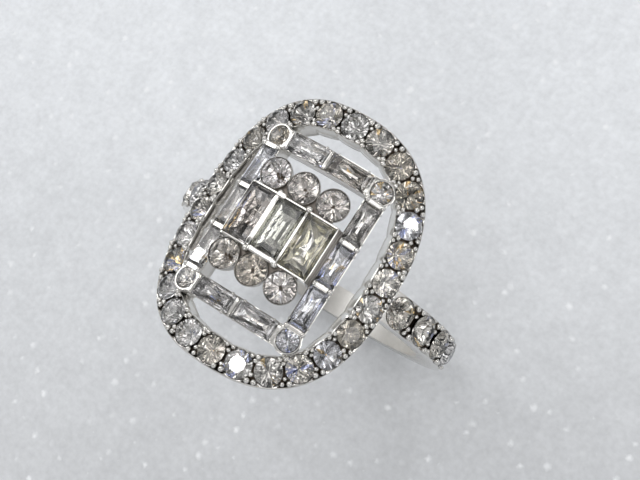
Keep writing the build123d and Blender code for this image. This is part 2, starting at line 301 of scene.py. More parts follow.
def rhodium_plate():
    """Rhodium plate over polished cast brass: a cool bright mirror that wavers a little where the casting
    was tumbled, with hairline scratches. The deep places are darker and duller: partly a residue that
    polishing can't reach, partly painted shade."""
    name = "rhodium_plate_polished"
    if name in bpy.data.materials:
        return bpy.data.materials[name]
    finish = bpy.context.scene.ring_finish
    material, tree = new_material(name)
    place = add(tree, "ShaderNodeTexCoord").outputs["Object"]
    # Soft waves of the casting, about 0.9 mm apart
    waves = add(tree, "ShaderNodeTexNoise", {"Vector": place, "Scale": 1 / (0.9 * MM), "Detail": 2})
    # Hairlines, about 0.06 mm apart and ten times as long; real ones are finer than a render can show
    stretched = add(tree, "ShaderNodeMapping", {"Vector": place, "Rotation": (0.3, 0.2, 0.6),
                                                "Scale": (1, 0.1, 0.4)})
    hairs = add(tree, "ShaderNodeTexNoise", {"Vector": stretched, "Scale": 1 / (0.06 * MM),
                                             "Detail": 3, "Roughness": 0.6})
    # Cloudy wear of the plate, about 0.4 mm across
    wear = add(tree, "ShaderNodeTexNoise", {"Vector": place, "Scale": 1 / (0.4 * MM), "Detail": 4})
    # The recess attribute darkens the plate towards the residue colour: a dull residue in the deep places,
    # and painted shade there
    depth = add(tree, "ShaderNodeAttribute", attribute_name="recess")
    film_and_shade = add(tree, "ShaderNodeMapRange", {0: depth.outputs["Fac"], 1: 0.1, 2: 0.9, 3: 0, 4: 1})
    tone = add(tree, "ShaderNodeMix", {0: wear, 6: opaque(finish.plating),
                                       7: opaque(finish.plating, 0.86)}, data_type="RGBA")
    colours = add(tree, "ShaderNodeMix", {0: film_and_shade, 6: tone, 7: opaque(finish.residue_and_painted_shade)}, data_type="RGBA")
    gloss = add(tree, "ShaderNodeMapRange", {0: wear, 1: 0.3, 2: 0.75, 3: 0.05, 4: 0.16})
    worn = add(tree, "ShaderNodeMix", {0: film_and_shade, 2: gloss, 3: 0.38})
    # The inside of the band and the lower edges are only tumbled, so they have a satin surface
    satin = add(tree, "ShaderNodeAttribute", attribute_name="satin")
    rough = add(tree, "ShaderNodeMix", {0: satin.outputs["Fac"], 2: worn, 3: 0.36})
    low = add(tree, "ShaderNodeBump", {"Height": waves, "Strength": 0.2, "Distance": 0.04 * MM})
    fine = add(tree, "ShaderNodeBump", {"Height": hairs, "Strength": 0.12,
                                        "Distance": 0.004 * MM, "Normal": low})
    shader = add(tree, "ShaderNodeBsdfPrincipled", {
        "Base Color": colours, "Metallic": 1.0, "Roughness": rough, "Normal": fine})
    add(tree, "ShaderNodeOutputMaterial", {"Surface": shader})
    return material


def crystal():
    """Lead crystal glass, machine cut and fire polished: clear and strongly bending, with sharp bright
    facets and a few fine rubs from wear."""
    name = "lead_crystal_cut"
    if name in bpy.data.materials:
        return bpy.data.materials[name]
    finish = bpy.context.scene.ring_finish
    material, tree = new_material(name)
    place = add(tree, "ShaderNodeTexCoord").outputs["Object"]
    # Rubs about 0.25 mm across, and hairlines at 0.05 mm
    rubs = add(tree, "ShaderNodeTexNoise", {"Vector": place, "Scale": 1 / (0.25 * MM), "Detail": 5})
    lines = add(tree, "ShaderNodeTexNoise", {"Vector": place, "Scale": 1 / (0.05 * MM), "Detail": 2})
    clear = add(tree, "ShaderNodeMapRange", {0: rubs, 1: 0.45, 2: 0.8, 3: 0.0, 4: 0.06})
    tone = add(tree, "ShaderNodeMix", {0: rubs, 6: opaque(finish.crystal),
                                       7: opaque(finish.crystal, 0.93)}, data_type="RGBA")
    bump = add(tree, "ShaderNodeBump", {"Height": lines, "Strength": 0.06, "Distance": 0.003 * MM})
    shader = add(tree, "ShaderNodeBsdfPrincipled", {
        "Base Color": tone, "Roughness": clear, "IOR": 1.57, "Transmission Weight": 1.0, "Normal": bump})
    add(tree, "ShaderNodeOutputMaterial", {"Surface": shader})
    return material


def foil(name, tint, contrast=1.0, haze=0.03, ripple=0.1):
    """Silver vacuum-coated on the back of a stone and lacquered: each pavilion facet is a small mirror.
    Some facets are darkened as painted shade, some brightened to white as painted glints, and a few carry
    warm and blue flecks of painted fire. Contrast sets how dark the shaded ones are, haze how rough the
    lacquer is where it is clearest, and ripple how uneven the foil lies."""
    name = f"silver_foil_{name}"
    if name in bpy.data.materials:
        return bpy.data.materials[name]
    material, tree = new_material(name)
    place = add(tree, "ShaderNodeTexCoord").outputs["Object"]
    facet = add(tree, "ShaderNodeAttribute", attribute_name="facet_tone")
    stone = add(tree, "ShaderNodeAttribute", attribute_name="stone_tone")
    # One number from 0 to 1 for each facet of each stone
    shifted = add(tree, "ShaderNodeMath", {0: stone.outputs["Fac"], 1: 7.3, 2: facet.outputs["Fac"]},
                  operation="MULTIPLY_ADD")
    lot = add(tree, "ShaderNodeMath", {0: shifted}, operation="FRACT")
    # Most facets keep the foil's tint; the darkened ones are painted shade, the pure white ones painted
    # glints, and the warm and blue ones painted fire
    tones = add(tree, "ShaderNodeValToRGB", {"Fac": lot})
    tones.color_ramp.interpolation = "CONSTANT"
    painted_dark = ((0.0, 0.6), (0.08, 0.32), (0.22, 0.14))
    ramp(tones, [(start, [c * (1 - fall * contrast) for c in tint]) for start, fall in painted_dark]
         + [(0.45, tint), (0.78, linear("#FFFEFD")), (0.96, linear("#F4DDB0")), (0.98, linear("#C9D2F6"))])
    # No two stones are quite the same: some are dull or yellowed, some fresh and cool
    age = add(tree, "ShaderNodeValToRGB", {"Fac": stone.outputs["Fac"]})
    ramp(age, [(0.0, linear("#EDE9E3")), (0.25, linear("#F4F2EF")), (0.6, linear("#FAF9F8")),
               (1.0, linear("#F8F9FE"))])
    aged = add(tree, "ShaderNodeMix", {0: 1.0, 6: tones, 7: age}, data_type="RGBA", blend_type="MULTIPLY")
    # Clouding of the lacquer, about 0.3 mm across
    cloud = add(tree, "ShaderNodeTexNoise", {"Vector": place, "Scale": 1 / (0.3 * MM), "Detail": 3})
    tone = add(tree, "ShaderNodeMix", {0: 0.06, 6: aged, 7: cloud.outputs["Color"]},
               data_type="RGBA", blend_type="MULTIPLY")
    gloss = add(tree, "ShaderNodeMapRange", {0: cloud, 1: 0.3, 2: 0.7, 3: haze, 4: haze + 0.08})
    bump = add(tree, "ShaderNodeBump", {"Height": cloud, "Strength": ripple, "Distance": 0.02 * MM})
    shader = add(tree, "ShaderNodeBsdfPrincipled", {
        "Base Color": tone, "Metallic": 1.0, "Roughness": gloss, "Normal": bump})
    add(tree, "ShaderNodeOutputMaterial", {"Surface": shader})
    return material


def foam_sheet():
    """Pale polyethylene foam sheet, matt, with a fine closed-cell grain, and painted shade that darkens it
    towards one side.
    """
    finish = bpy.context.scene.ring_finish
    material, tree = new_material("foam_sheet_pale")
    place = add(tree, "ShaderNodeTexCoord").outputs["Object"]
    # Painted light and shade: the sheet darkens towards one side, over about 50 mm
    slope = add(tree, "ShaderNodeVectorMath", {0: place, 1: (-0.5, 0.86, 0)}, operation="DOT_PRODUCT")
    side = add(tree, "ShaderNodeMapRange", {0: slope, 1: -25 * MM, 2: 25 * MM},
               interpolation_type="SMOOTHSTEP")
    # Cells about 0.5 mm across, in faint clouds of 1.6 mm
    cells = add(tree, "ShaderNodeTexNoise", {"Vector": place, "Scale": 1 / (0.5 * MM), "Detail": 2})
    clouds = add(tree, "ShaderNodeTexNoise", {"Vector": place, "Scale": 1 / (1.6 * MM), "Detail": 3})
    grain = add(tree, "ShaderNodeMix", {0: 0.45, 2: cells, 3: clouds})
    shade = add(tree, "ShaderNodeMapRange", {0: grain, 1: 0.3, 2: 0.7, 3: 0.87, 4: 1.04})
    colours = add(tree, "ShaderNodeMix", {0: side, 6: opaque(finish.shaded_floor),
                                          7: opaque(finish.floor)}, data_type="RGBA")
    toned = add(tree, "ShaderNodeVectorMath", {0: colours, "Scale": shade}, operation="SCALE")
    # Burst cells show as ragged bright specks, up to 0.8 mm across with their soft edges, each with its own
    # size and brightness
    ragged = add(tree, "ShaderNodeVectorMath", {0: cells.outputs["Color"], 1: grey(0.5 * MM), 2: place},
                 operation="MULTIPLY_ADD")
    specks = add(tree, "ShaderNodeTexVoronoi", {"Vector": ragged, "Scale": 1 / (1.6 * MM)},
                 voronoi_dimensions="2D")
    lot = add(tree, "ShaderNodeSeparateXYZ", {0: specks.outputs["Color"]})
    reach = add(tree, "ShaderNodeMapRange", {0: lot.outputs["X"], 1: 0.3, 2: 1.0, 3: 0.0, 4: 0.24})
    inside = add(tree, "ShaderNodeMath", {0: reach, 1: specks.outputs["Distance"]}, operation="SUBTRACT")
    strength = add(tree, "ShaderNodeMapRange", {0: lot.outputs["Y"], 3: 0.15, 4: 1.0})
    bright = add(tree, "ShaderNodeMapRange", {0: inside, 1: 0.0, 2: 0.17, 3: 0, 4: strength})
    speckled = add(tree, "ShaderNodeMix", {0: bright, 6: toned,
                                           7: opaque(linear("#FAFCFF"))}, data_type="RGBA")
    bump = add(tree, "ShaderNodeBump", {"Height": cells, "Strength": 0.25, "Distance": 0.06 * MM})
    shader = add(tree, "ShaderNodeBsdfPrincipled", {
        "Base Color": speckled, "Roughness": 0.75, "Normal": bump})
    add(tree, "ShaderNodeOutputMaterial", {"Surface": shader})
    return material


# ---------------------------------------------------------------- flat plans

class Outline:
    """The flat superellipse that the halo stones follow, clockwise from its far end, by arc length."""

    def __init__(self, half_width, half_length, power, steps=1440):
        self.points = []
        for step in range(steps + 1):
            turn = 2 * math.pi * step / steps
            across, along = math.sin(turn), math.cos(turn)
            reach = (abs(across / half_width) ** power + abs(along / half_length) ** power) ** (-1 / power)
            self.points.append(Vector((reach * across, reach * along)))
        self.marks = [0.0]
        for start, end in zip(self.points, self.points[1:]):
            self.marks.append(self.marks[-1] + (end - start).length)
        self.length = self.marks[-1]

    def at(self, run, side=0.0):
        """Point at a distance along the outline, moved outwards by side."""
        run %= self.length
        step = min(bisect.bisect_right(self.marks, run), len(self.marks) - 1)
        start, end = self.points[step - 1], self.points[step]
        part = (run - self.marks[step - 1]) / (self.marks[step] - self.marks[step - 1])
        forward = (end - start).normalized()
        return start.lerp(end, part) + Vector((-forward.y, forward.x)) * side


def straight(run, side=0.0):
    """Plan of a straight strip along X."""
    return Vector((run, side))


def square_walk():
    """Points round the square from -1 to 1, anticlockwise from its lower right corner."""
    walk = []
    for turn in range(4):
        for step in range(CELL_STEPS):
            u, v = 1.0, 2 * step / CELL_STEPS - 1
            for _ in range(turn):
                u, v = -v, u
            walk.append((u, v))
    return walk


class Cell:
    """A patch of a pierced face: its outline, the hole in its middle, and where each point lies in it."""

    def __init__(self, outline, hole, spots):
        self.outline = outline
        self.hole = hole
        self.spots = spots


def round_cell(centre, outline, radius, spots):
    """A cell with a round hole."""
    ways = [(point - centre).normalized() for point in outline]
    return Cell(outline, lambda inset: [centre + way * (radius - inset) for way in ways], spots)


def strip_cell(plan, start, middle, end, half_width, radius, waist=0.0):
    """A cell of a strip with a round hole at its middle; its waist is how far its inner side draws in at
    its ends."""
    spots = square_walk()
    outline = [plan(middle + u * (end - middle if u > 0 else middle - start),
                    v * half_width + waist * max(-v, 0) * abs(u) ** 3) for u, v in spots]
    return round_cell(plan(middle), outline, radius, spots)


def box_cell(centre, half_x, half_y, seat, hole_x, hole_y):
    """A rectangular cell with a rectangular hole that has its own middle, the seat."""
    spots = square_walk()
    outline = [centre + Vector((u * half_x, v * half_y)) for u, v in spots]
    return Cell(outline, lambda inset: [seat + Vector((u * (hole_x - inset), v * (hole_y - inset)))
                                        for u, v in spots], spots)


def plane(height):
    """The surface of a face that lies at one height."""
    return lambda *place: height


def rail_top(rise):
    """The surface of thin rails at a height, a little rounded towards the stones."""
    return lambda nearness, u, v: rise - (0.02 * MM if nearness == 0 else 0)


# ---------------------------------------------------------------- closed metal bodies

class Body:
    """A metal body drawn flat and then bent: X across the finger, Y along it, Z out of the surface."""

    def __init__(self):
        self.mesh = bmesh.new()
        # Recess darkens the plate as a dull film and painted shade; satin only makes it rougher
        self.recess = self.mesh.verts.layers.float.new("recess")
        self.satin = self.mesh.verts.layers.float.new("satin")

    def ring(self, points, heights, depth=0.0):
        """Adds a row of points, each at its own height."""
        row = []
        for point, height in zip(points, heights):
            vertex = self.mesh.verts.new((point[0], point[1], height))
            vertex[self.recess] = depth
            row.append(vertex)
        return row

    def bridge(self, outer, inner, closed=True, flip=False):
        """Joins two rows of points with faces."""
        total = len(outer)
        for here in range(total if closed else total - 1):
            after = (here + 1) % total
            corners = [outer[here], outer[after], inner[after], inner[here]]
            self.mesh.faces.new(corners[::-1] if flip else corners)

    def cap(self, row, flip=False):
        """Closes a row of points with one face."""
        self.mesh.faces.new(row[::-1] if flip else row)

    def pierce(self, cell, surface, sinks, flip=False):
        """Adds a cell: its face from the outline in to the hole, then the hole's rows down to its end."""
        rim = cell.hole(0)
        peak = surface(1, 0, 1)
        last = None
        for nearness in (1, 0.6, 0.25, 0.08, 0):
            points = [inner.lerp(outer, nearness) for inner, outer in zip(rim, cell.outline)]
            heights = [surface(nearness, u, v) for u, v in cell.spots]
            row = self.ring(points, heights)
            # The deeper the metal lies below the cell's edges, the darker it is painted: dull film and
            # painted shade
            for vertex in row:
                vertex[self.recess] = min(max((peak - vertex.co.z) / FILM_AND_SHADE_DEPTH, 0), 1)
            if last:
                self.bridge(last, row, flip=flip)
            last = row
        for inset, height, depth in sinks:
            points = cell.hole(inset)
            row = self.ring(points, [height] * len(points), depth)
            self.bridge(last, row, flip=flip)
            last = row
        self.cap(last, flip)

    def sheet(self, plan, runs, sides, height, flip=False):
        """Adds a plain stretch of face as a grid."""
        last = None
        for run in runs:
            points = [plan(run, side) for side in sides]
            row = self.ring(points, [height(run)] * len(points))
            if last:
                self.bridge(last, row, closed=False, flip=not flip)
            last = row

    def weld(self):
        """Joins points that lie together."""
        bmesh.ops.remove_doubles(self.mesh, verts=self.mesh.verts[:], dist=0.0015 * MM)

    def walls(self, rows, bottom):
        """Adds a wall from every open edge down to the bottom. A row is (outset, drop from the top), or
        (outset, -rise from the bottom)."""
        follow = {}
        for edge in self.mesh.edges:
            if len(edge.link_faces) == 1:
                loop = edge.link_loops[0]
                follow[loop.vert] = loop.link_loop_next.vert
        while follow:
            start = next(iter(follow))
            loop, here = [], start
            while here in follow:
                loop.append(here)
                here = follow.pop(here)
            total = len(loop)
            flat = [vertex.co.xy for vertex in loop]
            sides = []
            for spot in range(total):
                run = flat[(spot + 1) % total] - flat[spot]
                sides.append(Vector((run.y, -run.x)).normalized())
            # The least divisor keeps a mitre short where two sides meet at a sharp angle
            mitres = [(sides[spot - 1] + sides[spot]) / max(1 + sides[spot - 1].dot(sides[spot]), 0.4)
                      for spot in range(total)]
            last = loop
            for outset, drop in rows + [(0, None)]:
                # The polishing wheel doesn't reach the lower edge, which stays satin, with a little film
                # and painted shade that darken it
                low = drop is None or drop < 0
                points = [vertex.co.xy + mitre * outset for vertex, mitre in zip(loop, mitres)]
                heights = [bottom - (drop or 0) if low else vertex.co.z - drop for vertex in loop]
                row = self.ring(points, heights, 0.2 if low else 0)
                for vertex in row:
                    vertex[self.satin] = 0.8 if low else 0
                self.bridge(row, last)
                last = row

    def slab(self, plan, runs, sides, top, bottom, rows):
        """Adds a closed slab of its own, with walls of the given rows."""
        part = Body()
        part.sheet(plan, runs, sides, plane(top))
        part.walls(rows, bottom)
        part.sheet(plan, runs, sides, plane(bottom), flip=True)
        part.weld()
        carried = bpy.data.meshes.new("slab")
        part.mesh.to_mesh(carried)
        part.mesh.free()
        self.mesh.from_mesh(carried)
        bpy.data.meshes.remove(carried)

    def film_and_shade(self, depth):
        """Gives the whole body one depth of film and painted shade, which darkens it."""
        for vertex in self.mesh.verts:
            vertex[self.recess] = depth

    def bend(self, level, axis_height):
        """Bends the body round a line parallel to Y."""
        for vertex in self.mesh.verts:
            across, along, height = vertex.co
            turn = across / level
            vertex.co = ((level + height) * math.sin(turn), along,
                         axis_height + (level + height) * math.cos(turn))

    def finish(self, name, sharp=38):
        """Welds, softens and writes the mesh. Edges sharper than the angle stay crisp."""
        self.weld()
        for face in self.mesh.faces:
            face.smooth = True
        for edge in self.mesh.edges:
            edge.smooth = not edge.is_manifold or edge.calc_face_angle(0) < math.radians(sharp)
        open_edges = [edge for edge in self.mesh.edges if not edge.is_manifold]
        if open_edges:
            raise RuntimeError(f"{name} has {len(open_edges)} open edges")
        mesh = bpy.data.meshes.new(name)
        self.mesh.to_mesh(mesh)
        self.mesh.free()
        return mesh


def turned(name, profile, segments):
    """A turned closed body; the profile runs from the lowest point on the axis to the highest, as
    (radius, height, recess)."""
    body = Body()
    last = None
    for radius, height, depth in profile:
        points = [(radius * math.cos(2 * math.pi * step / segments),
                   radius * math.sin(2 * math.pi * step / segments)) for step in range(segments)]
        row = body.ring(points, [height] * segments, depth)
        if last:
            body.bridge(last, row)
        else:
            body.cap(row, flip=True)
        last = row
    body.cap(last)
    return body.finish(name)


def open_back(floor, first_inset, last_inset, depth):
    """Rows of the hole behind a stone, which narrows inwards, for the underside at the floor."""
    # The third number of each row darkens the hole with film and painted shade
    return [(first_inset, floor + 0.05 * MM, 0.5), (last_inset, floor + depth, 0.9)]


def round_seat(diameter, cut):
    """Rows of a round stone's seat below the metal: a straight bore, a ledge and the pavilion's cone."""
    # The third number of each row darkens the seat with film and painted shade
    radius = diameter / 2
    return [(0.0, -0.2 * MM, 0.8), (0.09 * radius, -0.22 * MM, 1.0),
            (0.9 * radius, -(cut.pavilion * diameter + 0.04 * MM), 1.0)]


def box_seat(width, cut):
    """Rows of a baguette's seat below the metal, everywhere clear of the stone's rounded back."""
    depth = cut.step_pavilion * width
    # The third number of each row darkens the seat with film and painted shade
    return [(0.0, -0.12 * MM, 0.7), (0.02 * width, -0.35 * depth, 1.0), (0.12 * width, -0.7 * depth, 1.0),
            (0.28 * width, -(depth + 0.08 * MM), 1.0)]


# ---------------------------------------------------------------- cut stones

def round_brilliant(diameter, cut, seed):
    """A round brilliant with the girdle on z = 0: table, eight kites, stars, halves and a faceted back."""
    lot = random.Random(seed)
    radius = diameter / 2 * cut.fit
    crown, depth = cut.crown * diameter, cut.pavilion * diameter
    half = cut.girdle / 2
    mesh = bmesh.new()

    def ring(total, reach, height, offset, jitter=0.0):
        """A row of points round the stone."""
        row = []
        for step in range(total):
            turn = 2 * math.pi * (step + offset) / total
            wobble = 1 + lot.uniform(-jitter, jitter)
            row.append(mesh.verts.new((reach * wobble * math.cos(turn), reach * wobble * math.sin(turn),
                                       height * (1 + lot.uniform(-jitter, jitter)))))
        return row

    table_reach = cut.table * radius
    star_reach = 0.78 * radius
    star_height = half + crown * (radius - star_reach * math.cos(math.pi / 8)) / (radius - table_reach)
    table = ring(8, table_reach, half + crown, 0)
    stars = ring(8, star_reach, star_height, 0.5)
    upper = ring(16, radius, half, 0)
    lower = ring(16, radius, -half, 0)
    backs = ring(8, 0.36 * radius, -half - 0.66 * depth, 0.5, 0.035)
    culet = ring(8, 0.05 * radius, -half - depth, 0)
    mesh.faces.new(table)
    for step in range(8):
        after = (step + 1) % 8
        mesh.faces.new([table[step], stars[step], table[after]])
        mesh.faces.new([table[step], stars[step - 1], upper[2 * step], stars[step]])
        mesh.faces.new([stars[step], upper[2 * step], upper[2 * step + 1]])
        mesh.faces.new([stars[step], upper[2 * step + 1], upper[(2 * step + 2) % 16]])
        mesh.faces.new([culet[step], backs[step], lower[2 * step], backs[step - 1]])
        mesh.faces.new([culet[step], culet[after], backs[step]])
        mesh.faces.new([backs[step], lower[2 * step + 1], lower[2 * step]])
        mesh.faces.new([backs[step], lower[(2 * step + 2) % 16], lower[2 * step + 1]])
    for step in range(16):
        mesh.faces.new([upper[step], lower[step], lower[(step + 1) % 16], upper[(step + 1) % 16]])
    mesh.faces.new(culet[::-1])
    return stone_mesh("round_brilliant", mesh, half, lot)


def step_cut(width, long, cut, seed, parts):
    """A baguette with the girdle on z = 0: a table and two steps above, and a stepped back below. With one
    part the steps are plain and run the whole length; with more parts each step is split along the side, so
    that its facets flash one after another."""
    lot = random.Random(seed)
    half_x, half_y = width / 2 * cut.fit, (long - (1 - cut.fit) * width) / 2
    crown, depth = cut.step_crown * width, cut.step_pavilion * width
    half = cut.girdle / 2
    mesh = bmesh.new()
    # Points round a unit rectangle
    side = [(1, 2 * step / parts - 1) for step in range(parts)]
    walk = [(-1, -1)] + side + [(1, 1)] + [(-x, -y) for x, y in side]
    # Each row is (inset from the sides, inset from the ends, height)
    backs = [(0.44, 0.6, -1.0), (0.3, 0.38, -0.84), (0.16, 0.2, -0.56), (0.06, 0.07, -0.26), (0, 0, 0)]
    tops = [(0, 0, 0), (0.08, 0.08, 0.6), (0.19, 0.18, 1.0)]
    last = None
    for level, rows, scale, split in ((-half, backs, depth, parts > 1), (half, tops, crown, False)):
        for side_inset, end_inset, height in rows:
            wobble = 0.035 * width if split and height else 0
            row = [mesh.verts.new((x * (half_x - side_inset * width) + lot.uniform(-wobble, wobble) * 0.5,
                                   y * (half_y - end_inset * width) + lot.uniform(-wobble, wobble),
                                   level + height * scale + lot.uniform(-wobble, wobble) * 0.6))
                   for x, y in walk]
            for here in range(len(walk)) if last else ():
                quad = [last[here - 1], last[here], row[here], row[here - 1]]
                if not split:
                    mesh.faces.new(quad)
                elif here % 2:
                    mesh.faces.new(quad[:3])
                    mesh.faces.new([quad[0], quad[2], quad[3]])
                else:
                    mesh.faces.new([quad[0], quad[1], quad[3]])
                    mesh.faces.new(quad[1:])
            if not last:
                mesh.faces.new(row[::-1])
            last = row
    mesh.faces.new(last)
    return stone_mesh("step_cut", mesh, half, lot)


def stone_mesh(name, built, half_girdle, lot):
    """Writes a stone's mesh with its foil-backed facets marked and a tone for each facet."""
    mesh = bpy.data.meshes.new(name)
    built.to_mesh(mesh)
    built.free()
    # Each attribute is filled before the next one is made, because making one moves the others
    backing = mesh.attributes.new("backing", "BOOLEAN", "FACE")
    backing.data.foreach_set("value", [face.center.z < -half_girdle * 1.2 for face in mesh.polygons])
    tone = mesh.attributes.new("facet_tone", "FLOAT", "FACE")
    tone.data.foreach_set("value", [lot.random() for face in mesh.polygons])
    return mesh


# ---------------------------------------------------------------- Geometry Nodes

def open_tree(name, sockets):
    """A Geometry Nodes tree with named inputs; returns the tree and its inputs by name."""
    tree = bpy.data.node_groups.new(name, "GeometryNodeTree")
    tree.is_modifier = True
    tree.interface.new_socket("Geometry", in_out="OUTPUT", socket_type="NodeSocketGeometry")
    tree.interface.new_socket("Geometry", in_out="INPUT", socket_type="NodeSocketGeometry")
    for label, (kind, default) in sockets.items():
        socket = tree.interface.new_socket(label, in_out="INPUT", socket_type=f"NodeSocket{kind}")
        if default is not None:
            socket.default_value = default
    return tree, {socket.name: socket for socket in add(tree, "NodeGroupInput").outputs if socket.name}


def placing_tree():
    """Puts a part at every point of a flat layout (X across, Y along, Z above the surface) and bends the
    layout round a line parallel to Y. The layout's turn attribute turns each part about its normal."""
    name = "set_on_bend"
    if name in bpy.data.node_groups:
        return bpy.data.node_groups[name]
    tree, given = open_tree(name, {
        "Part": ("Object", None), "Level": ("Float", 0.01), "Axis Height": ("Float", 0.0),
        "Spin": ("Float", 0.0), "Tilt": ("Float", 0.0), "Spread": ("Float", 0.0),
        "Seed": ("Int", 1), "Front": ("Material", None), "Back": ("Material", None)})
    level, axis = given["Level"], given["Axis Height"]
    flat = add(tree, "ShaderNodeSeparateXYZ", {0: add(tree, "GeometryNodeInputPosition")})
    turn = add(tree, "ShaderNodeMath", {0: flat.outputs["X"], 1: level}, operation="DIVIDE")
    radius = add(tree, "ShaderNodeMath", {0: level, 1: flat.outputs["Z"]}, operation="ADD")
    sine = add(tree, "ShaderNodeMath", {0: turn}, operation="SINE")
    cosine = add(tree, "ShaderNodeMath", {0: turn}, operation="COSINE")
    side = add(tree, "ShaderNodeMath", {0: radius, 1: sine}, operation="MULTIPLY")
    rise = add(tree, "ShaderNodeMath", {0: radius, 1: cosine}, operation="MULTIPLY")
    height = add(tree, "ShaderNodeMath", {0: axis, 1: rise}, operation="ADD")
    bent = add(tree, "ShaderNodeCombineXYZ", {0: side, 1: flat.outputs["Y"], 2: height})
    moved = add(tree, "GeometryNodeSetPosition", {"Geometry": given["Geometry"], "Position": bent})
    # The angle round the bend, read back from the bent place
    place = add(tree, "ShaderNodeSeparateXYZ", {0: add(tree, "GeometryNodeInputPosition")})
    above = add(tree, "ShaderNodeMath", {0: place.outputs["Z"], 1: axis}, operation="SUBTRACT")
    around = add(tree, "ShaderNodeMath", {0: place.outputs["X"], 1: above}, operation="ARCTAN2")
    lean = add(tree, "FunctionNodeAxisAngleToRotation", {"Axis": (0, 1, 0), "Angle": around})
    own_turn = add(tree, "GeometryNodeInputNamedAttribute", {"Name": "turn"}, data_type="FLOAT")
    reach = add(tree, "ShaderNodeCombineXYZ", {0: given["Tilt"], 1: given["Tilt"], 2: given["Spin"]})
    back_reach = add(tree, "ShaderNodeVectorMath", {0: reach, 1: (-1, -1, -1)}, operation="MULTIPLY")
    jitter = add(tree, "FunctionNodeRandomValue", {0: back_reach, 1: reach, "Seed": given["Seed"]},
                 data_type="FLOAT_VECTOR")
    turned_by = add(tree, "ShaderNodeCombineXYZ", {2: own_turn})
    angles = add(tree, "ShaderNodeVectorMath", {0: jitter, 1: turned_by}, operation="ADD")
    own = add(tree, "FunctionNodeEulerToRotation", {0: angles})
    facing = add(tree, "FunctionNodeRotateRotation", {"Rotation": lean, "Rotate By": own},
                 rotation_space="LOCAL")
    smallest = add(tree, "ShaderNodeMath", {0: 1.0, 1: given["Spread"]}, operation="SUBTRACT")
    size = add(tree, "FunctionNodeRandomValue", {2: smallest, 3: 1.0, "Seed": given["Seed"]},
               data_type="FLOAT")
    part = add(tree, "GeometryNodeObjectInfo", {"Object": given["Part"]}, transform_space="ORIGINAL")
    placed = add(tree, "GeometryNodeInstanceOnPoints", {
        "Points": moved, "Instance": part.outputs["Geometry"], "Rotation": facing, "Scale": size})
    tone = add(tree, "FunctionNodeRandomValue", {2: 0.0, 3: 1.0, "Seed": given["Seed"]}, data_type="FLOAT")
    marked = add(tree, "GeometryNodeStoreNamedAttribute", {
        "Geometry": placed, "Name": "stone_tone", "Value": tone}, data_type="FLOAT", domain="INSTANCE")
    real = add(tree, "GeometryNodeRealizeInstances", {"Geometry": marked})
    front = add(tree, "GeometryNodeSetMaterial", {"Geometry": real, "Material": given["Front"]})
    backing = add(tree, "GeometryNodeInputNamedAttribute", {"Name": "backing"}, data_type="BOOLEAN")
    back = add(tree, "GeometryNodeSetMaterial", {
        "Geometry": front, "Selection": backing, "Material": given["Back"]})
    add(tree, "NodeGroupOutput", {0: back})
    return tree


def outline_tree():
    """Spreads points evenly along a closed flat outline and sets a part on each, by way of set_on_bend."""
    inner = placing_tree()
    name = "set_along_outline"
    if name in bpy.data.node_groups:
        return bpy.data.node_groups[name]
    sockets = {"Count": ("Int", 26)}
    for item in inner.interface.items_tree:
        if item.in_out == "INPUT" and item.name != "Geometry":
            sockets[item.name] = (item.socket_type.removeprefix("NodeSocket"), None)
    tree, given = open_tree(name, sockets)
    curve = add(tree, "GeometryNodeMeshToCurve", {"Mesh": given["Geometry"]})
    even = add(tree, "GeometryNodeResampleCurve", {"Curve": curve, "Count": given["Count"]}, mode="COUNT")
    points = add(tree, "GeometryNodeCurveToPoints", {"Curve": even}, mode="EVALUATED")
    loose = add(tree, "GeometryNodePointsToVertices", {"Points": points})
    passed = {label: given[label] for label in sockets if label != "Count"}
    group = add(tree, "GeometryNodeGroup", {"Geometry": loose, **passed}, node_tree=inner)
    add(tree, "NodeGroupOutput", {0: group})
    return tree


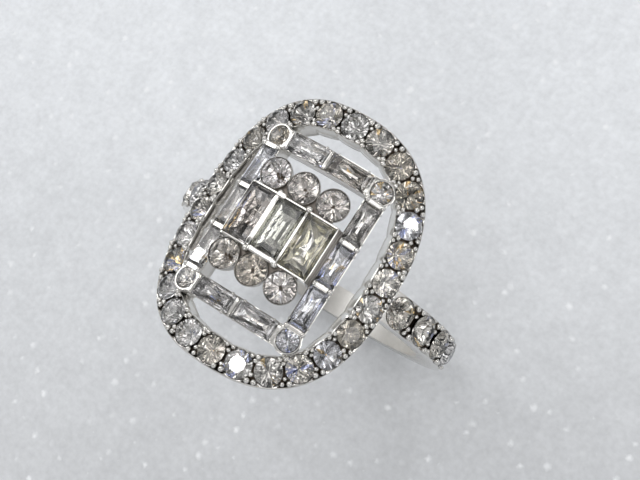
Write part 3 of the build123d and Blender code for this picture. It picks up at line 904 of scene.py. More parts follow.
def bar_tree():
    """Makes a bar along X with a flat top, soft edges and rounded ends, for the metal between stones."""
    name = "soft_bar"
    if name in bpy.data.node_groups:
        return bpy.data.node_groups[name]
    tree, given = open_tree(name, {"Length": ("Float", 1.0), "Width": ("Float", 0.2),
                                   "Metal": ("Material", None)})
    half = add(tree, "ShaderNodeMath", {0: given["Length"], 1: 0.5}, operation="MULTIPLY")
    far = add(tree, "ShaderNodeMath", {0: half, 1: -1.0}, operation="MULTIPLY")
    start = add(tree, "ShaderNodeCombineXYZ", {0: far})
    end = add(tree, "ShaderNodeCombineXYZ", {0: half})
    line = add(tree, "GeometryNodeCurvePrimitiveLine", {"Start": start, "End": end})
    even = add(tree, "GeometryNodeResampleCurve", {"Curve": line, "Count": 25}, mode="COUNT")
    # The bar keeps its width almost to its ends, which are round and a little blunt: the root of just over
    # 1 less the power
    power, full = 8.0, 1.02
    along = add(tree, "GeometryNodeSplineParameter")
    centred = add(tree, "ShaderNodeMath", {0: along, 1: 2.0, 2: -1.0}, operation="MULTIPLY_ADD")
    away = add(tree, "ShaderNodeMath", {0: centred}, operation="ABSOLUTE")
    fall = add(tree, "ShaderNodeMath", {0: away, 1: power}, operation="POWER")
    kept = add(tree, "ShaderNodeMath", {0: full, 1: fall}, operation="SUBTRACT")
    taper = add(tree, "ShaderNodeMath", {0: kept}, operation="SQRT")
    # The section is a superellipse of the same power: a circle of radius 1 pushed out towards a square
    circle = add(tree, "GeometryNodeCurvePrimitiveCircle", {"Resolution": 32, "Radius": 1.0})
    spot = add(tree, "GeometryNodeInputPosition")
    parts = add(tree, "ShaderNodeSeparateXYZ", {0: spot})
    powers = {}
    for number, axis in enumerate("XY"):
        size = add(tree, "ShaderNodeMath", {0: parts.outputs[axis]}, operation="ABSOLUTE")
        powers[number] = add(tree, "ShaderNodeMath", {0: size, 1: power}, operation="POWER")
    total = add(tree, "ShaderNodeMath", powers, operation="ADD")
    reach = add(tree, "ShaderNodeMath", {0: total, 1: -1 / power}, operation="POWER")
    half_width = add(tree, "ShaderNodeMath", {0: given["Width"], 1: 0.5}, operation="MULTIPLY")
    scale = add(tree, "ShaderNodeMath", {0: reach, 1: half_width}, operation="MULTIPLY")
    pushed = add(tree, "ShaderNodeVectorMath", {0: spot, "Scale": scale}, operation="SCALE")
    section = add(tree, "GeometryNodeSetPosition", {"Geometry": circle, "Position": pushed})
    bar = add(tree, "GeometryNodeCurveToMesh", {
        "Curve": even, "Profile Curve": section, "Scale": taper, "Fill Caps": True})
    smooth = add(tree, "GeometryNodeSetShadeSmooth", {"Geometry": bar})
    real = add(tree, "GeometryNodeRealizeInstances", {"Geometry": smooth})
    metal = add(tree, "GeometryNodeSetMaterial", {"Geometry": real, "Material": given["Metal"]})
    add(tree, "NodeGroupOutput", {0: metal})
    return tree


def grown(name, base, tree, values):
    """Runs a tree on a mesh with the given inputs and returns the plain mesh that comes out."""
    maker = bpy.data.objects.new(f"{name}_maker", base)
    bpy.context.scene.collection.objects.link(maker)
    modifier = maker.modifiers.new("made", "NODES")
    modifier.node_group = tree
    for item in tree.interface.items_tree:
        if item.in_out == "INPUT" and item.name in values:
            modifier[item.identifier] = values[item.name]
    depsgraph = bpy.context.evaluated_depsgraph_get()
    mesh = bpy.data.meshes.new_from_object(maker.evaluated_get(depsgraph), preserve_all_data_layers=True,
                                           depsgraph=depsgraph)
    mesh.name = name
    maker.modifiers.clear()
    bpy.data.objects.remove(maker)
    return mesh


def layout(places):
    """A mesh of loose points (across, along, lift) with a turn for each, given as the fourth number."""
    mesh = bpy.data.meshes.new("layout")
    mesh.from_pydata([place[:3] for place in places], [], [])
    turn = mesh.attributes.new("turn", "FLOAT", "POINT")
    for index, place in enumerate(places):
        turn.data[index].value = place[3] if len(place) > 3 else 0.0
    return mesh


def set_parts(name, base, part_mesh, bend, front, back=None, tree=None, **values):
    """Sets a part at every point of a base mesh, bent by (level, axis height), and returns the mesh."""
    if not part_mesh.materials:
        part_mesh.materials.append(front)
    part = bpy.data.objects.new(f"{name}_part", part_mesh)
    bpy.context.scene.collection.objects.link(part)
    inputs = {"Part": part, "Level": bend[0], "Axis Height": bend[1], "Front": front, "Back": back or front}
    mesh = grown(name, base, tree or placing_tree(), {**inputs, **values})
    bpy.data.objects.remove(part)
    return mesh


# ---------------------------------------------------------------- pieces

def add_piece(name, mesh, replaced=()):
    """Makes a piece of the ring from a finished mesh, riding on the body and standing for its CAD nodes."""
    piece = bpy.data.objects.new(name, mesh)
    bpy.context.scene.collection.objects.link(piece)
    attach(piece, BODY)
    if replaced:
        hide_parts(*replaced)


def metal_piece(name, body, bend, replaced=()):
    """Bends a metal body and makes a plated piece of it."""
    body.bend(*bend)
    mesh = body.finish(name)
    mesh.materials.append(rhodium_plate())
    add_piece(name, mesh, replaced)


def metal_set(name, part, places, bend, **values):
    """Sets a metal part at every place of a layout and makes one plated piece of them all."""
    add_piece(name, set_parts(name, layout(places), part, bend, rhodium_plate(), **values))


def stone_set(name, stone, base, bend, backing, replaced, **values):
    """Sets a cut stone at every point of a base mesh, crystal in front and foil behind, as one piece."""
    mesh = set_parts(name, base, stone, bend, crystal(), backing, **values)
    add_piece(name, mesh, replaced)


def nodes_named(start):
    """CAD nodes whose names begin in the same way."""
    return sorted(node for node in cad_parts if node.startswith(start))


def agree(what, size, node, axis):
    """Raises if a size isn't what the CAD node measures along an axis."""
    low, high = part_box(node)
    measured = high[axis] - low[axis]
    if abs(measured - size) > 0.05 * MM:
        raise RuntimeError(f"{what} is {size / MM:.3f} mm and {node} measures {measured / MM:.3f} mm")


def even_steps(low, high, steps):
    """Values from low to high in equal steps."""
    return [low + (high - low) * step / steps for step in range(steps + 1)]


def bead(radius):
    """A small prong bead."""
    mesh = bmesh.new()
    bmesh.ops.create_uvsphere(mesh, u_segments=10, v_segments=6, radius=radius)
    for face in mesh.faces:
        face.smooth = True
    made = bpy.data.meshes.new("bead")
    mesh.to_mesh(made)
    mesh.free()
    return made


def bead_group(lot, run, side, offset, spread, lift, inwards, sunk):
    """Places of a pair of beads on the edge, and of a lower one deeper between the stones, as (run, side,
    height)."""
    return [(run + step * spread + lot.gauss(0, BEAD_DRIFT),
             side * (offset - shift) + lot.gauss(0, BEAD_DRIFT), height)
            for step, shift, height in ((-1, 0, lift), (1, 0, lift), (0, inwards, sunk))]


def bar(length_along, width):
    """A flat-topped bar along X."""
    empty = bpy.data.meshes.new("bar_base")
    return grown("bar", empty, bar_tree(), {"Length": length_along, "Width": width,
                                            "Metal": rhodium_plate()})


def halo_cells(halo, outline, half, radius):
    """The cells of the halo's rim, one round each stone, with holes of one radius."""
    pitch = outline.length / halo.stones
    middles = [number * pitch for number in range(halo.stones)]
    return [strip_cell(outline.at, middle - pitch / 2, middle, middle + pitch / 2, half, radius, halo.waist)
            for middle in middles]


class RING_OT_halo_rim(bpy.types.Operator):
    """Makes the halo's metal rim with a bright-cut seat for each stone and groups of beads between them"""
    bl_idname = "ring.halo_rim"
    bl_label = "Halo rim"

    def execute(self, context):
        halo, cut = context.scene.ring_halo, context.scene.ring_stones
        agree("halo length", 2 * halo.half_length + halo.rim_width, "halo_rim", 1)
        outline = Outline(halo.half_width, halo.half_length, halo.squareness)
        bend = halo.level, cut.axis_height
        bevel = 0.11 * MM
        half = halo.rim_width / 2 - bevel
        radius = halo.stone_diameter / 2 + SEAT_PLAY
        floor = cut.metal_rise - halo.rim_depth
        body = Body()

        def top(nearness, u, v):
            """The metal is highest along the edges and falls away between two stones."""
            valley = VALLEY * abs(u) ** 3 * (1 - (v * nearness) ** 4)
            return cut.metal_rise - valley - (0.03 * MM if nearness == 0 else 0)

        for cell in halo_cells(halo, outline, half, radius):
            body.pierce(cell, top, round_seat(halo.stone_diameter, cut))
        body.weld()
        body.walls([(0.05 * MM, 0.03 * MM), (bevel, 0.2 * MM), (bevel, -0.15 * MM),
                    (0.07 * MM, -0.04 * MM)], floor)
        # The holes behind the stones are narrower than their seats
        for cell in halo_cells(halo, outline, half, 0.62 * radius):
            body.pierce(cell, plane(floor), open_back(floor, 0.02 * MM, 0.2 * MM, 0.32 * MM), flip=True)
        metal_piece("halo_setting", body, bend, ["halo_rim"])

        lot = random.Random(cut.seed)
        pitch = outline.length / halo.stones
        places = []
        for number in range(halo.stones):
            # The outer beads stand inside a plain rail, the inner ones on the edge
            for side, offset in ((-1, halo.bead_offset), (1, halo.bead_offset - halo.rail)):
                group = bead_group(lot, (number + 0.5) * pitch, side, offset, halo.bead_spread,
                                   lift=0.11 * MM, inwards=0.3 * MM, sunk=-0.04 * MM)
                places += [(*outline.at(run, out), height) for run, out, height in group]
        metal_set("halo_beads", bead(halo.bead_radius), places, bend, Spin=3.0, Seed=3, Spread=0.3)
        return {"FINISHED"}


class RING_OT_halo_stones(bpy.types.Operator):
    """Sets the round stones of the halo"""
    bl_idname = "ring.halo_stones"
    bl_label = "Halo stones"

    def execute(self, context):
        halo, cut = context.scene.ring_halo, context.scene.ring_stones
        nodes = nodes_named("halo_stone_")
        if len(nodes) != halo.stones:
            raise RuntimeError(f"the frame has {len(nodes)} halo stones and the settings {halo.stones}")
        outline = Outline(halo.half_width, halo.half_length, halo.squareness)
        steps = 20 * halo.stones
        mesh = bpy.data.meshes.new("outline")
        mesh.from_pydata([(*outline.at(outline.length * step / steps), 0) for step in range(steps)],
                         [(step, (step + 1) % steps) for step in range(steps)], [])
        stone_set("halo_rhinestones", round_brilliant(halo.stone_diameter, cut, cut.seed), mesh,
                  (halo.level, cut.axis_height), foil("neutral", context.scene.ring_finish.foil), nodes,
                  tree=outline_tree(), Count=halo.stones, Spin=3.2, Tilt=math.radians(2.5), Seed=cut.seed)
        return {"FINISHED"}


def corner_cell(settings, sign_x, sign_y, half):
    """Cell of a frame corner: the round cup, and the ends of the two channels that run into it."""
    long_end = settings.half_length - 1.5 * settings.pitch
    short_end = settings.half_width - settings.pitch
    first, last = math.atan2(-long_end, half), math.atan2(half, -short_end)
    points = [Vector((value, -long_end)) for value in even_steps(-half, half, CELL_STEPS)]
    arc_steps = 24
    for step in range(1, arc_steps):
        turn = first + (last - first) * step / arc_steps
        reach = settings.cup_radius
        if turn < 0:
            reach = max(reach, half / math.cos(turn))
        elif turn > math.pi / 2:
            reach = max(reach, half / math.sin(turn))
        points.append(Vector((reach * math.cos(turn), reach * math.sin(turn))))
    points += [Vector((-short_end, value)) for value in even_steps(half, -half, CELL_STEPS)]
    points.append(Vector((-half, -half)))
    centre = Vector((sign_x * settings.half_width, sign_y * settings.half_length))
    placed = [centre + Vector((sign_x * point.x, sign_y * point.y)) for point in points]
    if sign_x * sign_y < 0:
        placed.reverse()
    return round_cell(centre, placed, settings.corner_diameter / 2 + SEAT_PLAY, [(0, 0)] * len(placed))


def side_seats(settings, side):
    """Middles of the baguettes in one long and one short side of the frame, as (across, along, height,
    turn)."""
    long_side = [(side * settings.half_width, step * settings.pitch, 0, 0) for step in (-1, 0, 1)]
    short_side = [(step * settings.pitch, side * settings.half_length, 0, math.pi / 2)
                  for step in (-0.5, 0.5)]
    return long_side + short_side


def corner_seats(settings):
    """Middles of the frame's four corners, as (across, along, height)."""
    return [(x * settings.half_width, y * settings.half_length, 0) for x in (-1, 1) for y in (-1, 1)]


def frame_cells(settings, half):
    """The cells of the frame: ten for the baguettes and four for the corners."""
    reach = settings.pitch / 2
    hole = settings.stone_width / 2 + TIGHT_PLAY, settings.stone_length / 2 + SEAT_PLAY
    channels = []
    for x, y, _, turn in side_seats(settings, -1) + side_seats(settings, 1):
        centre = Vector((x, y))
        if turn:
            channels.append(box_cell(centre, reach, half, centre, *hole[::-1]))
        else:
            channels.append(box_cell(centre, half, reach, centre, *hole))
    return channels, [corner_cell(settings, x, y, half) for x in (-1, 1) for y in (-1, 1)]


def channel_strips(settings, cut, bend):
    """The four channels of the frame with the cups of its corners."""
    edge = 0.05 * MM
    half = settings.strip_width / 2 - edge
    floor = cut.metal_rise - settings.strip_depth
    channels, corners = frame_cells(settings, half)
    body = Body()
    for cell in channels:
        body.pierce(cell, rail_top(cut.metal_rise), box_seat(settings.stone_width, cut))
    for cell in corners:
        body.pierce(cell, rail_top(cut.metal_rise), round_seat(settings.corner_diameter, cut))
    body.weld()
    body.walls([(0.035 * MM, 0.015 * MM), (edge, 0.06 * MM), (edge, -0.08 * MM), (0.03 * MM, -0.02 * MM)],
               floor)
    for cell in channels + corners:
        body.pierce(cell, plane(floor), open_back(floor, 0.15 * MM, 0.3 * MM, 0.25 * MM), flip=True)
    metal_piece("channel_strips", body, bend, ["channel_frame"])


def broad_bars(settings):
    """Middles of the broad bars across the long sides."""
    return [(side * settings.half_width, step * settings.pitch, 0)
            for side in (-1, 1) for step in (-1.5, -0.5, 0.5, 1.5)]


def channel_bars(settings, bend):
    """Bars between the baguettes, square to each channel: broad on the long sides and slim on the short
    ones."""
    slim = [(step * settings.pitch, side * settings.half_length, 0, math.pi / 2)
            for side in (-1, 1) for step in (-1, 0, 1)]
    metal_set("long_side_bars", bar(settings.strip_width, settings.bar_width), broad_bars(settings), bend)
    metal_set("short_side_bars", bar(settings.strip_width, settings.slim_bar_width), slim, bend)


def channel_prongs(settings, cut, bend):
    """Small prongs on the rails, over the corners of the baguettes, and rounded heads where the broad bars
    were hammered over the rails."""
    reach, gap = settings.strip_width / 2 - 0.05 * MM, settings.stone_length / 2 - 0.35 * MM
    places = []
    for side in (-1, 1):
        for face in (-1, 1):
            for end in (-1, 1):
                for x, y, _, turn in side_seats(settings, side):
                    shift = (end * gap, face * reach) if turn else (face * reach, end * gap)
                    places.append((x + shift[0], y + shift[1], cut.metal_rise))
    metal_set("channel_prongs", bead(settings.prong_radius), places, bend, Spin=3.0, Seed=6, Spread=0.3)
    heads = [(x + face * (reach - 0.1 * MM), y, cut.metal_rise + 0.06 * MM)
             for x, y, _ in broad_bars(settings) for face in (-1, 1)]
    metal_set("bar_heads", bead(settings.head_radius), heads, bend, Seed=8, Spread=0.2)


def corner_supports(settings, bend):
    """Posts under the corners of the frame, and the lugs that carry them onto the halo."""
    deep = settings.post_depth
    # The third number of each row gives the posts and lugs a little film and painted shade
    post = turned("corner_post", [(0.5 * MM, -deep, 0.1), (0.6 * MM, -deep + 0.08 * MM, 0.1),
                                  (0.68 * MM, -0.8 * MM, 0.1), (0.3 * MM, -0.8 * MM, 0.1)], 24)
    lug = turned("corner_lug", [(0.4 * MM, -deep, 0.1), (0.5 * MM, -deep + 0.08 * MM, 0.1),
                                (0.5 * MM, -1.5 * MM, 0.1), (0.4 * MM, -1.42 * MM, 0.1)], 24)
    corners = corner_seats(settings)
    metal_set("corner_posts", post, corners, bend)
    # The lugs stand further out than the posts, where they meet the inside of the halo
    metal_set("corner_lugs", lug, [(1.1 * x, 1.08 * y, 0) for x, y, _ in corners], bend)


class RING_OT_channel_frame(bpy.types.Operator):
    """Makes the channel frame with its corner cups, posts and raised bars"""
    bl_idname = "ring.channel_frame"
    bl_label = "Channel frame"

    def execute(self, context):
        settings, cut = context.scene.ring_frame, context.scene.ring_stones
        bend = settings.level, cut.axis_height
        channel_strips(settings, cut, bend)
        channel_bars(settings, bend)
        channel_prongs(settings, cut, bend)
        corner_supports(settings, bend)
        return {"FINISHED"}


class RING_OT_frame_stones(bpy.types.Operator):
    """Sets the ten baguettes and the four corner stones of the frame"""
    bl_idname = "ring.frame_stones"
    bl_label = "Frame stones"

    def execute(self, context):
        settings, cut = context.scene.ring_frame, context.scene.ring_stones
        finish = context.scene.ring_finish
        bend = settings.level, cut.axis_height
        seed = cut.seed + LOTS["frame"]
        baguette = step_cut(settings.stone_width, settings.stone_length, cut, seed, 3)
        seats = side_seats(settings, -1) + side_seats(settings, 1)
        stone_set("frame_baguettes", baguette, layout(seats), bend,
                  foil("violet", finish.violet_foil, contrast=0.6, haze=0.08, ripple=0.8),
                  nodes_named("frame_baguette_"), Tilt=math.radians(1.5), Seed=seed)
        seed = cut.seed + LOTS["corner"]
        stone_set("corner_rhinestones", round_brilliant(settings.corner_diameter, cut, seed),
                  layout(corner_seats(settings)), bend, foil("neutral", finish.foil), ["corner_stones"],
                  Spin=3.2, Tilt=math.radians(2), Seed=seed)
        return {"FINISHED"}


def box_half(settings):
    """Half the width of the box, and half its length inside the bevel."""
    return 1.5 * settings.pitch + settings.box_edge, settings.box_length / 2 - BOX_BEVEL


def centre_box(settings, cut, bend):
    """The box that holds the three baguettes."""
    outer, half = box_half(settings)
    floor = cut.metal_rise - settings.box_depth
    cells = []
    for column in (-1, 0, 1):
        # The outer columns are a little wider, by the box's edge
        low = BOX_BEVEL - outer if column < 0 else (column - 0.5) * settings.pitch
        high = outer - BOX_BEVEL if column > 0 else (column + 0.5) * settings.pitch
        cells.append(box_cell(Vector(((low + high) / 2, 0)), (high - low) / 2, half,
                              Vector((column * settings.pitch, 0)), settings.stone_width / 2 + SEAT_PLAY,
                              settings.stone_length / 2 + SEAT_PLAY))
    body = Body()
    for cell in cells:
        body.pierce(cell, rail_top(cut.metal_rise), box_seat(settings.stone_width, cut))
    body.weld()
    body.walls([(0.02 * MM, 0.01 * MM), (BOX_BEVEL, 0.05 * MM), (BOX_BEVEL, -0.06 * MM)], floor)
    for cell in cells:
        body.pierce(cell, plane(floor), open_back(floor, 0.3 * MM, 0.5 * MM, 0.3 * MM), flip=True)
    metal_piece("centre_box", body, bend, ["centre_head"])


def stepped_walls(settings, cut, channel, bend):
    """Two steps on each side, down from the box to the long sides of the frame."""
    outer, half = box_half(settings)
    rows = [(0.012 * MM, 0.006 * MM), (0.017 * MM, 0.03 * MM), (0.017 * MM, -0.03 * MM)]
    inner_wall = (channel.half_width - channel.strip_width / 2) / channel.level * settings.level
    step_width = (inner_wall - outer) / 2
    deep = channel.level + cut.metal_rise - channel.strip_depth - settings.level
    body = Body()
    for side in (-1, 1):
        for number, height in enumerate((-0.16 * MM, -0.4 * MM)):
            start = outer + number * step_width
            low, high = sorted((side * start, side * (start + step_width)))
            body.slab(straight, even_steps(low + 0.02 * MM, high - 0.02 * MM, 2),
                      even_steps(-half, half, CELL_STEPS), height, deep, rows)
    # The steps lie low beside the box, so they are darkened as film and painted shade
    body.film_and_shade(0.65)
    metal_piece("stepped_walls", body, bend)


def cluster_web(settings, bend):
    """Sunk webs between the box and the cups, scalloped to follow the cups."""
    reach = settings.pitch + settings.cup_radius / 2
    scallop = settings.cup_radius - 0.04 * MM
    near = box_half(settings)[1] - 0.2 * MM
    body = Body()
    for side in (-1, 1):

        def plan(run, part, side=side):
            """A point of the web: 0 is at the box and 1 at the cups."""
            off_centre = run - round(run / settings.pitch) * settings.pitch
            far = settings.round_offset - math.sqrt(max(scallop ** 2 - off_centre ** 2, 0))
            return Vector((run, side * (near + part * (far - near))))

        # The parts run the other way on the other side, so that the web's face stays up
        parts = even_steps(0, 1, 4)[::side]
        body.slab(plan, even_steps(-reach, reach, 54), parts, top=-0.2 * MM, bottom=-1.1 * MM, rows=[])
    # The web lies sunk between the box and the cups, so it is darkened as film and painted shade
    body.film_and_shade(0.8)
    metal_piece("cluster_web", body, bend)


def round_places(settings):
    """Middles of the six rounds beside the box."""
    return [(column * settings.pitch, side * settings.round_offset, 0)
            for side in (-1, 1) for column in (-1, 0, 1)]


def cluster_cups(settings, cut, bend):
    """Turned cups for the six rounds."""
    cup, deep, rise = settings.cup_radius, settings.cup_depth, cut.metal_rise
    bore = settings.round_diameter / 2 + SEAT_PLAY
    # The third number of each row darkens the cup with film and painted shade, most in the bore
    part = turned("cluster_cup", [
        (0.62 * cup, -deep, 0.5), (0.7 * cup, -deep + 0.06 * MM, 0.5), (0.9 * cup, -0.6 * MM, 0.6),
        (0.985 * cup, -0.12 * MM, 0.5), (cup, 0.0, 0.3), (0.985 * cup, 0.04 * MM, 0.1),
        (0.965 * cup, rise + 0.01 * MM, 0), (bore + 0.01 * MM, rise, 0.2), (bore, 0.02 * MM, 0.6),
        (bore, -0.2 * MM, 0.8), (0.9 * bore, -0.23 * MM, 1), (0.1 * bore, -0.84 * MM, 1)], 32)
    metal_set("cluster_cups", part, round_places(settings), bend, Spin=3.0, Seed=5)


def centre_bars(settings, cut, bend):
    """Beads and bars over the dividers and along both ends of the box; the middle stone has a bold L of
    bright metal."""
    half = box_half(settings)[1]
    beads = [(column * settings.pitch, side * (half + 0.06 * MM), cut.metal_rise)
             for side in (-1, 1) for column in (-0.5, 0.5)]
    metal_set("centre_beads", bead(0.25 * MM), beads, bend)
    pitch, bold, left = settings.pitch, settings.bezel_width, -0.5 * settings.pitch
    end = half - 0.05 * MM
    low, high = 0.05 * MM, 0.12 * MM
    rails = [(column * pitch, side * end, low) for side in (-1, 1) for column in (-1, 0, 1)]
    for name, places, long, width in (
            ("centre_divider", [(-left, 0, low, math.pi / 2)], settings.box_length, 0.17 * MM),
            ("centre_rails", rails, pitch, 0.14 * MM),
            ("middle_bezel_side", [(left, 0, high, math.pi / 2)], settings.box_length + 0.1 * MM, bold),
            ("middle_bezel_end", [(0.06 * MM, -end, high)], pitch, bold),
            ("middle_bezel_hook", [(left + 0.2 * MM, end, high)], 0.7 * MM, bold)):
        metal_set(name, bar(long, width), places, bend)


class RING_OT_centre_head(bpy.types.Operator):
    """Makes the raised centre: the box, its stepped side walls, the cups, the sunk web, beads and bars"""
    bl_idname = "ring.centre_head"
    bl_label = "Centre head"

    def execute(self, context):
        settings, cut = context.scene.ring_centre, context.scene.ring_stones
        bend = settings.level, cut.axis_height
        centre_box(settings, cut, bend)
        stepped_walls(settings, cut, context.scene.ring_frame, bend)
        cluster_web(settings, bend)
        cluster_cups(settings, cut, bend)
        centre_bars(settings, cut, bend)
        return {"FINISHED"}


class RING_OT_centre_stones(bpy.types.Operator):
    """Sets the three baguettes and the six rounds of the centre"""
    bl_idname = "ring.centre_stones"
    bl_label = "Centre stones"

    def execute(self, context):
        settings, cut = context.scene.ring_centre, context.scene.ring_stones
        finish = context.scene.ring_finish
        bend = settings.level, cut.axis_height
        # Where each baguette lies, in how many parts its back is cut, and its foil
        baguettes = (("left", -1, 2, foil("grey", finish.grey_foil, ripple=1.0)),
                     ("middle", 0, 1, foil("blue", finish.blue_foil, ripple=1.0)),
                     ("right", 1, 3, foil("olive", finish.olive_foil, ripple=1.0)))
        for where, column, parts, backing in baguettes:
            seed = cut.seed + LOTS["centre"] + column
            stone = step_cut(settings.stone_width, settings.stone_length, cut, seed, parts)
            stone_set(f"{where}_baguette", stone, layout([(column * settings.pitch, 0, -0.02 * MM)]), bend,
                      backing, [f"centre_baguette_{where}"], Tilt=math.radians(0.3), Seed=seed)
        seed = cut.seed + LOTS["cluster"]
        stone_set("cluster_rhinestones", round_brilliant(settings.round_diameter, cut, seed),
                  layout(round_places(settings)), bend,
                  foil("brown", finish.brown_foil, contrast=0.7, haze=0.05), nodes_named("cluster_stone_"),
                  Spin=3.2, Tilt=math.radians(2.5), Seed=seed)
        return {"FINISHED"}


def shoulder_seats(band, start):
    """Where each seat of the shoulders starts, lies and ends along the band, and how deep the valleys
    before and after it are. The first seat begins at the start, and the other shoulder mirrors the
    first."""
    level = band.shoulder_radius
    first, step, whole = band.first_stone * level, band.stone_step * level, 2 * math.pi * level
    seats = []
    for number in range(band.stones):
        middle = first + number * step
        low = start if number == 0 else middle - step / 2
        seats.append((low, middle, middle + step / 2, VALLEY if number else 0,
                      VALLEY if number < band.stones - 1 else 0))
    return seats + [(whole - high, whole - middle, whole - low, after, before)
                    for low, middle, high, before, after in reversed(seats)]


def band_body(band, cut):
    """The band as a flat strip from one end to the other, with its seats and its plain shank."""
    level = band.shoulder_radius
    edge = 0.02 * MM
    half = band.width / 2 - edge
    degree = math.radians(1) * level
    whole = 2 * math.pi * level
    # Where the band comes out from under the halo
    halo_edge = 42.75 * degree
    floor = band.bore_radius - level
    bottom = band.bore_radius + band.bottom_thickness - level
    sunk = -1.06 * MM
    sides = even_steps(-half, half, CELL_STEPS)
    seats = shoulder_seats(band, halo_edge)
    last_seat = seats[band.stones - 1][2]

    def height(run):
        """The ends pass under the halo, and the shank thins towards the bottom of the finger."""
        near = min(run, whole - run)
        if near < halo_edge - 0.1 * degree:
            return sunk
        thinned = max(near - last_seat, 0) / (whole / 2 - last_seat)
        return bottom * (1 - math.cos(math.pi * thinned)) / 2

    end_runs = even_steps(band.opening * level, halo_edge - 0.15 * degree, 5) + [halo_edge]
    shank_runs = even_steps(last_seat, whole - last_seat, 60)
    stretches = end_runs, shank_runs, [whole - run for run in reversed(end_runs)]
    body = Body()
    for low, middle, high, before, after in seats:

        def top(nearness, u, v, before=before, after=after):
            """A shallow valley crosses the shoulder between two stones."""
            deep = after if u > 0 else before
            # The valley starts at 0.6 of the way to the cell's end, and is shallower at the sides
            fall = deep * max(abs(u) - 0.6, 0) * 2.5 * (1 - 0.4 * v * v)
            edge_drop = 0.03 * MM if nearness == 0 else 0
            return -fall - edge_drop

        cell = strip_cell(straight, low, middle, high, half, band.stone_diameter / 2 + TIGHT_PLAY)
        body.pierce(cell, top, round_seat(band.stone_diameter, cut))
    for runs in stretches:
        body.sheet(straight, runs, sides, height)
    body.weld()
    body.walls([(0.015 * MM, 0.012 * MM), (edge, 0.05 * MM), (edge, -0.12 * MM), (0.01 * MM, -0.04 * MM)],
               floor)
    for low, middle, high, *_ in seats:
        runs = even_steps(low, middle, CELL_STEPS // 2) + even_steps(middle, high, CELL_STEPS // 2)[1:]
        body.sheet(straight, runs, sides, plane(floor), flip=True)
    for runs in stretches:
        body.sheet(straight, runs, sides, plane(floor), flip=True)
    for vertex in body.mesh.verts:
        if vertex.co.z < floor + 0.02 * MM:
            vertex[body.satin] = 1
    return body


class RING_OT_band(bpy.types.Operator):
    """Makes the band, open under the head, with seats and beads on its shoulders"""
    bl_idname = "ring.band"
    bl_label = "Band"

    def execute(self, context):
        band, cut = context.scene.ring_band, context.scene.ring_stones
        agree("band width", band.width, "band", 1)
        level = band.shoulder_radius
        bend = level, 0.0
        metal_piece("ring_band", band_body(band, cut), bend, ["band"])
        lot = random.Random(cut.seed)
        places = []
        for number in range(band.stones):
            run = band.first_stone * level + (number + 0.5) * (band.stone_step * level)
            for side in (-1, 1):
                for face in (-1, 1):
                    places += bead_group(lot, side * run, face, band.bead_offset, band.bead_spread,
                                         lift=0.04 * MM, inwards=0.48 * band.bead_offset,
                                         sunk=-0.12 * MM)
        metal_set("shoulder_beads", bead(band.bead_radius), places, bend, Spin=3.0, Seed=4, Spread=0.3)
        return {"FINISHED"}


class RING_OT_shoulder_stones(bpy.types.Operator):
    """Sets the round stones of the shoulders"""
    bl_idname = "ring.shoulder_stones"
    bl_label = "Shoulder stones"

    def execute(self, context):
        band, cut = context.scene.ring_band, context.scene.ring_stones
        level = band.shoulder_radius
        places = [(side * (band.first_stone + number * band.stone_step) * level, 0, -0.02 * MM)
                  for side in (-1, 1) for number in range(band.stones)]
        seed = cut.seed + LOTS["shoulder"]
        stone_set("shoulder_rhinestones", round_brilliant(band.stone_diameter, cut, seed),
                  layout(places), (level, 0.0), foil("neutral", context.scene.ring_finish.foil),
                  nodes_named("shoulder_stone_"), Spin=3.2, Tilt=math.radians(1), Seed=seed)
        return {"FINISHED"}


# ---------------------------------------------------------------- studio

# Distance of each lamp from the ring, in mm
LAMP_DISTANCE = 300
# Lamps: name, direction (azimuth, elevation), width and height in mm, and brightness, where 1 is as bright
# as white paper. The boxes and the strip give the soft light, and the small sparks give the stones their
# glints
LAMPS = [
    ("key_box", 150, 50, 130, 100, 2.8),
    ("far_box", 95, 36, 110, 90, 2.6),
    ("side_box", 10, 30, 80, 140, 2.6),
    ("near_box", 285, 45, 120, 80, 2.6),
    ("left_box", 176, 32, 110, 80, 2.8),
    ("top_strip", 90, 83, 430, 40, 2.0),
    ("high_spark", 239.8, 83.5, 16, 16, 28),
    ("right_spark", 21.5, 40, 14, 14, 25),
    ("left_spark", 176.4, 33.6, 14, 14, 25),
    ("far_spark", 62, 52, 9, 9, 30),
    ("back_spark", 128, 64, 9, 9, 30),
    ("front_spark", 216, 56, 9, 9, 30),
    ("near_spark", 322, 61, 9, 9, 30),
]


def direction(azimuth, elevation):
    """Unit vector from angles in radians."""
    return Vector((math.cos(elevation) * math.cos(azimuth), math.cos(elevation) * math.sin(azimuth),
                   math.sin(elevation)))


def lay_floor(size, ground):
    """The floor sheet under the ring."""
    half = size / 2
    mesh = bpy.data.meshes.new("floor")
    mesh.from_pydata([(-half, -half, ground), (half, -half, ground), (half, half, ground),
                      (-half, half, ground)], [], [(0, 1, 2, 3)])
    mesh.materials.append(foam_sheet())
    floor = bpy.data.objects.new("floor", mesh)
    bpy.context.scene.collection.objects.link(floor)


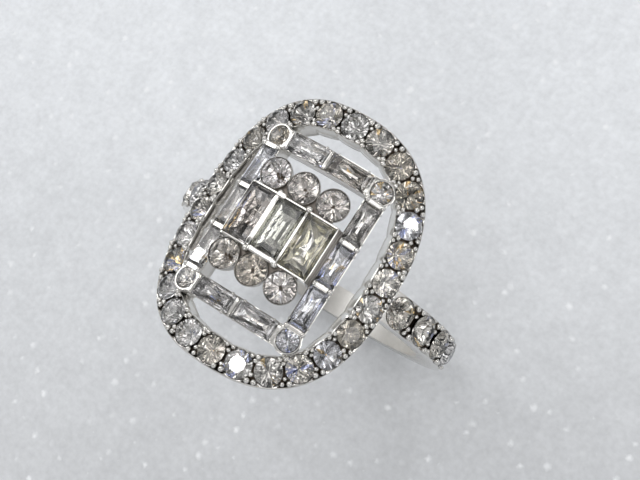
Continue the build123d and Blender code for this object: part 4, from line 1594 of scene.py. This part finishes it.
def light_room():
    """The world: a pale room with dark gaps between its bright walls."""
    world = bpy.data.worlds.new("soft_room")
    bpy.context.scene.world = world
    world.use_nodes = True
    tree = world.node_tree
    tree.nodes.clear()
    way = add(tree, "ShaderNodeTexCoord").outputs["Generated"]
    parts = add(tree, "ShaderNodeSeparateXYZ", {0: way})
    # The room is dull at the floor's far edge, so that the two meet softly, and paler above it
    room = add(tree, "ShaderNodeValToRGB", {"Fac": parts.outputs["Z"]})
    ramp(room, [(0.0, grey(0.36)), (0.14, grey(0.72)), (0.3, grey(0.72)), (0.55, grey(0.5)),
                (0.8, grey(0.55)), (1.0, grey(0.6))])
    # Dark gaps between the soft boxes give the facets something dark to mirror
    shade = add(tree, "ShaderNodeTexNoise", {"Vector": way, "Scale": 2.3, "Detail": 0.0})
    gaps = add(tree, "ShaderNodeValToRGB", {"Fac": shade})
    ramp(gaps, [(0.0, grey(0.12)), (0.42, grey(0.15)), (0.5, grey(1.0)), (1.0, grey(1.0))])
    above = add(tree, "ShaderNodeMapRange", {0: parts.outputs["Z"], 1: 0.25, 2: 0.5, 3: 0, 4: 1})
    mixed = add(tree, "ShaderNodeMix", {0: above, 6: room, 7: gaps},
                data_type="RGBA", blend_type="MULTIPLY")
    sky = add(tree, "ShaderNodeBackground", {"Color": mixed, "Strength": 1.0})
    add(tree, "ShaderNodeOutputWorld", {"Surface": sky})


def hang_lamp(aim, name, azimuth, elevation, width, height, bright):
    """An area lamp that faces the aim."""
    lamp = bpy.data.lights.new(name, "AREA")
    lamp.shape = "RECTANGLE"
    lamp.size, lamp.size_y = width * MM, height * MM
    lamp.energy = bright * math.pi * lamp.size * lamp.size_y
    holder = bpy.data.objects.new(name, lamp)
    way = direction(math.radians(azimuth), math.radians(elevation))
    holder.location = aim + way * LAMP_DISTANCE * MM
    holder.rotation_euler = way.to_track_quat("Z", "Y").to_euler()
    holder.visible_camera = False
    bpy.context.scene.collection.objects.link(holder)


def place_camera(aim, studio):
    """The camera, turned to the aim and rolled about its own axis."""
    camera = bpy.data.cameras.new("camera")
    camera.lens = studio.lens
    camera.clip_start, camera.clip_end = 1 * MM, 10000 * MM
    holder = bpy.data.objects.new("camera", camera)
    way = direction(studio.azimuth, studio.elevation)
    turn = way.to_track_quat("Z", "Y").to_matrix() @ Matrix.Rotation(studio.roll, 3, "Z")
    holder.matrix_world = Matrix.Translation(aim + way * studio.distance) @ turn.to_4x4()
    bpy.context.scene.collection.objects.link(holder)
    bpy.context.scene.camera = holder


class RING_OT_studio(bpy.types.Operator):
    """Makes the pale floor, the lamps, the world and the camera"""
    bl_idname = "ring.studio"
    bl_label = "Studio"

    def execute(self, context):
        studio = context.scene.ring_studio
        aim = Vector(studio.aim)
        lay_floor(studio.floor_size, cad_box[0][2])
        light_room()
        for lamp in LAMPS:
            hang_lamp(aim, *lamp)
        place_camera(aim, studio)
        context.scene.view_settings.view_transform = "Standard"
        return {"FINISHED"}


# ---------------------------------------------------------------- add-on

OPERATORS = [RING_OT_studio, RING_OT_band, RING_OT_shoulder_stones, RING_OT_halo_rim, RING_OT_halo_stones,
             RING_OT_channel_frame, RING_OT_frame_stones, RING_OT_centre_head, RING_OT_centre_stones]


class RING_PT_panel(bpy.types.Panel):
    """Lists the ring's pieces and their settings"""
    bl_idname = "RING_PT_panel"
    bl_label = "Cocktail ring"
    bl_space_type = "VIEW_3D"
    bl_region_type = "UI"
    bl_category = "Ring"

    def draw(self, context):
        for maker in OPERATORS:
            self.layout.operator(maker.bl_idname)
        for name in SETTINGS:
            group = getattr(context.scene, name)
            box = self.layout.box()
            box.label(text=name.replace("_", " "))
            for prop in group.__annotations__:
                box.prop(group, prop)


def register():
    """Registers the settings, the operators and the panel."""
    for name, group in SETTINGS.items():
        bpy.utils.register_class(group)
        setattr(bpy.types.Scene, name, bpy.props.PointerProperty(type=group))
    for maker in OPERATORS:
        bpy.utils.register_class(maker)
    bpy.utils.register_class(RING_PT_panel)


def unregister():
    """Takes them all away again."""
    bpy.utils.unregister_class(RING_PT_panel)
    for maker in reversed(OPERATORS):
        bpy.utils.unregister_class(maker)
    for name, group in SETTINGS.items():
        delattr(bpy.types.Scene, name)
        bpy.utils.unregister_class(group)


def main():
    """Builds the ring and the studio."""
    register()
    for maker in OPERATORS:
        group, name = maker.bl_idname.split(".")
        getattr(getattr(bpy.ops, group), name)()


if __name__ == "__main__":
    main()
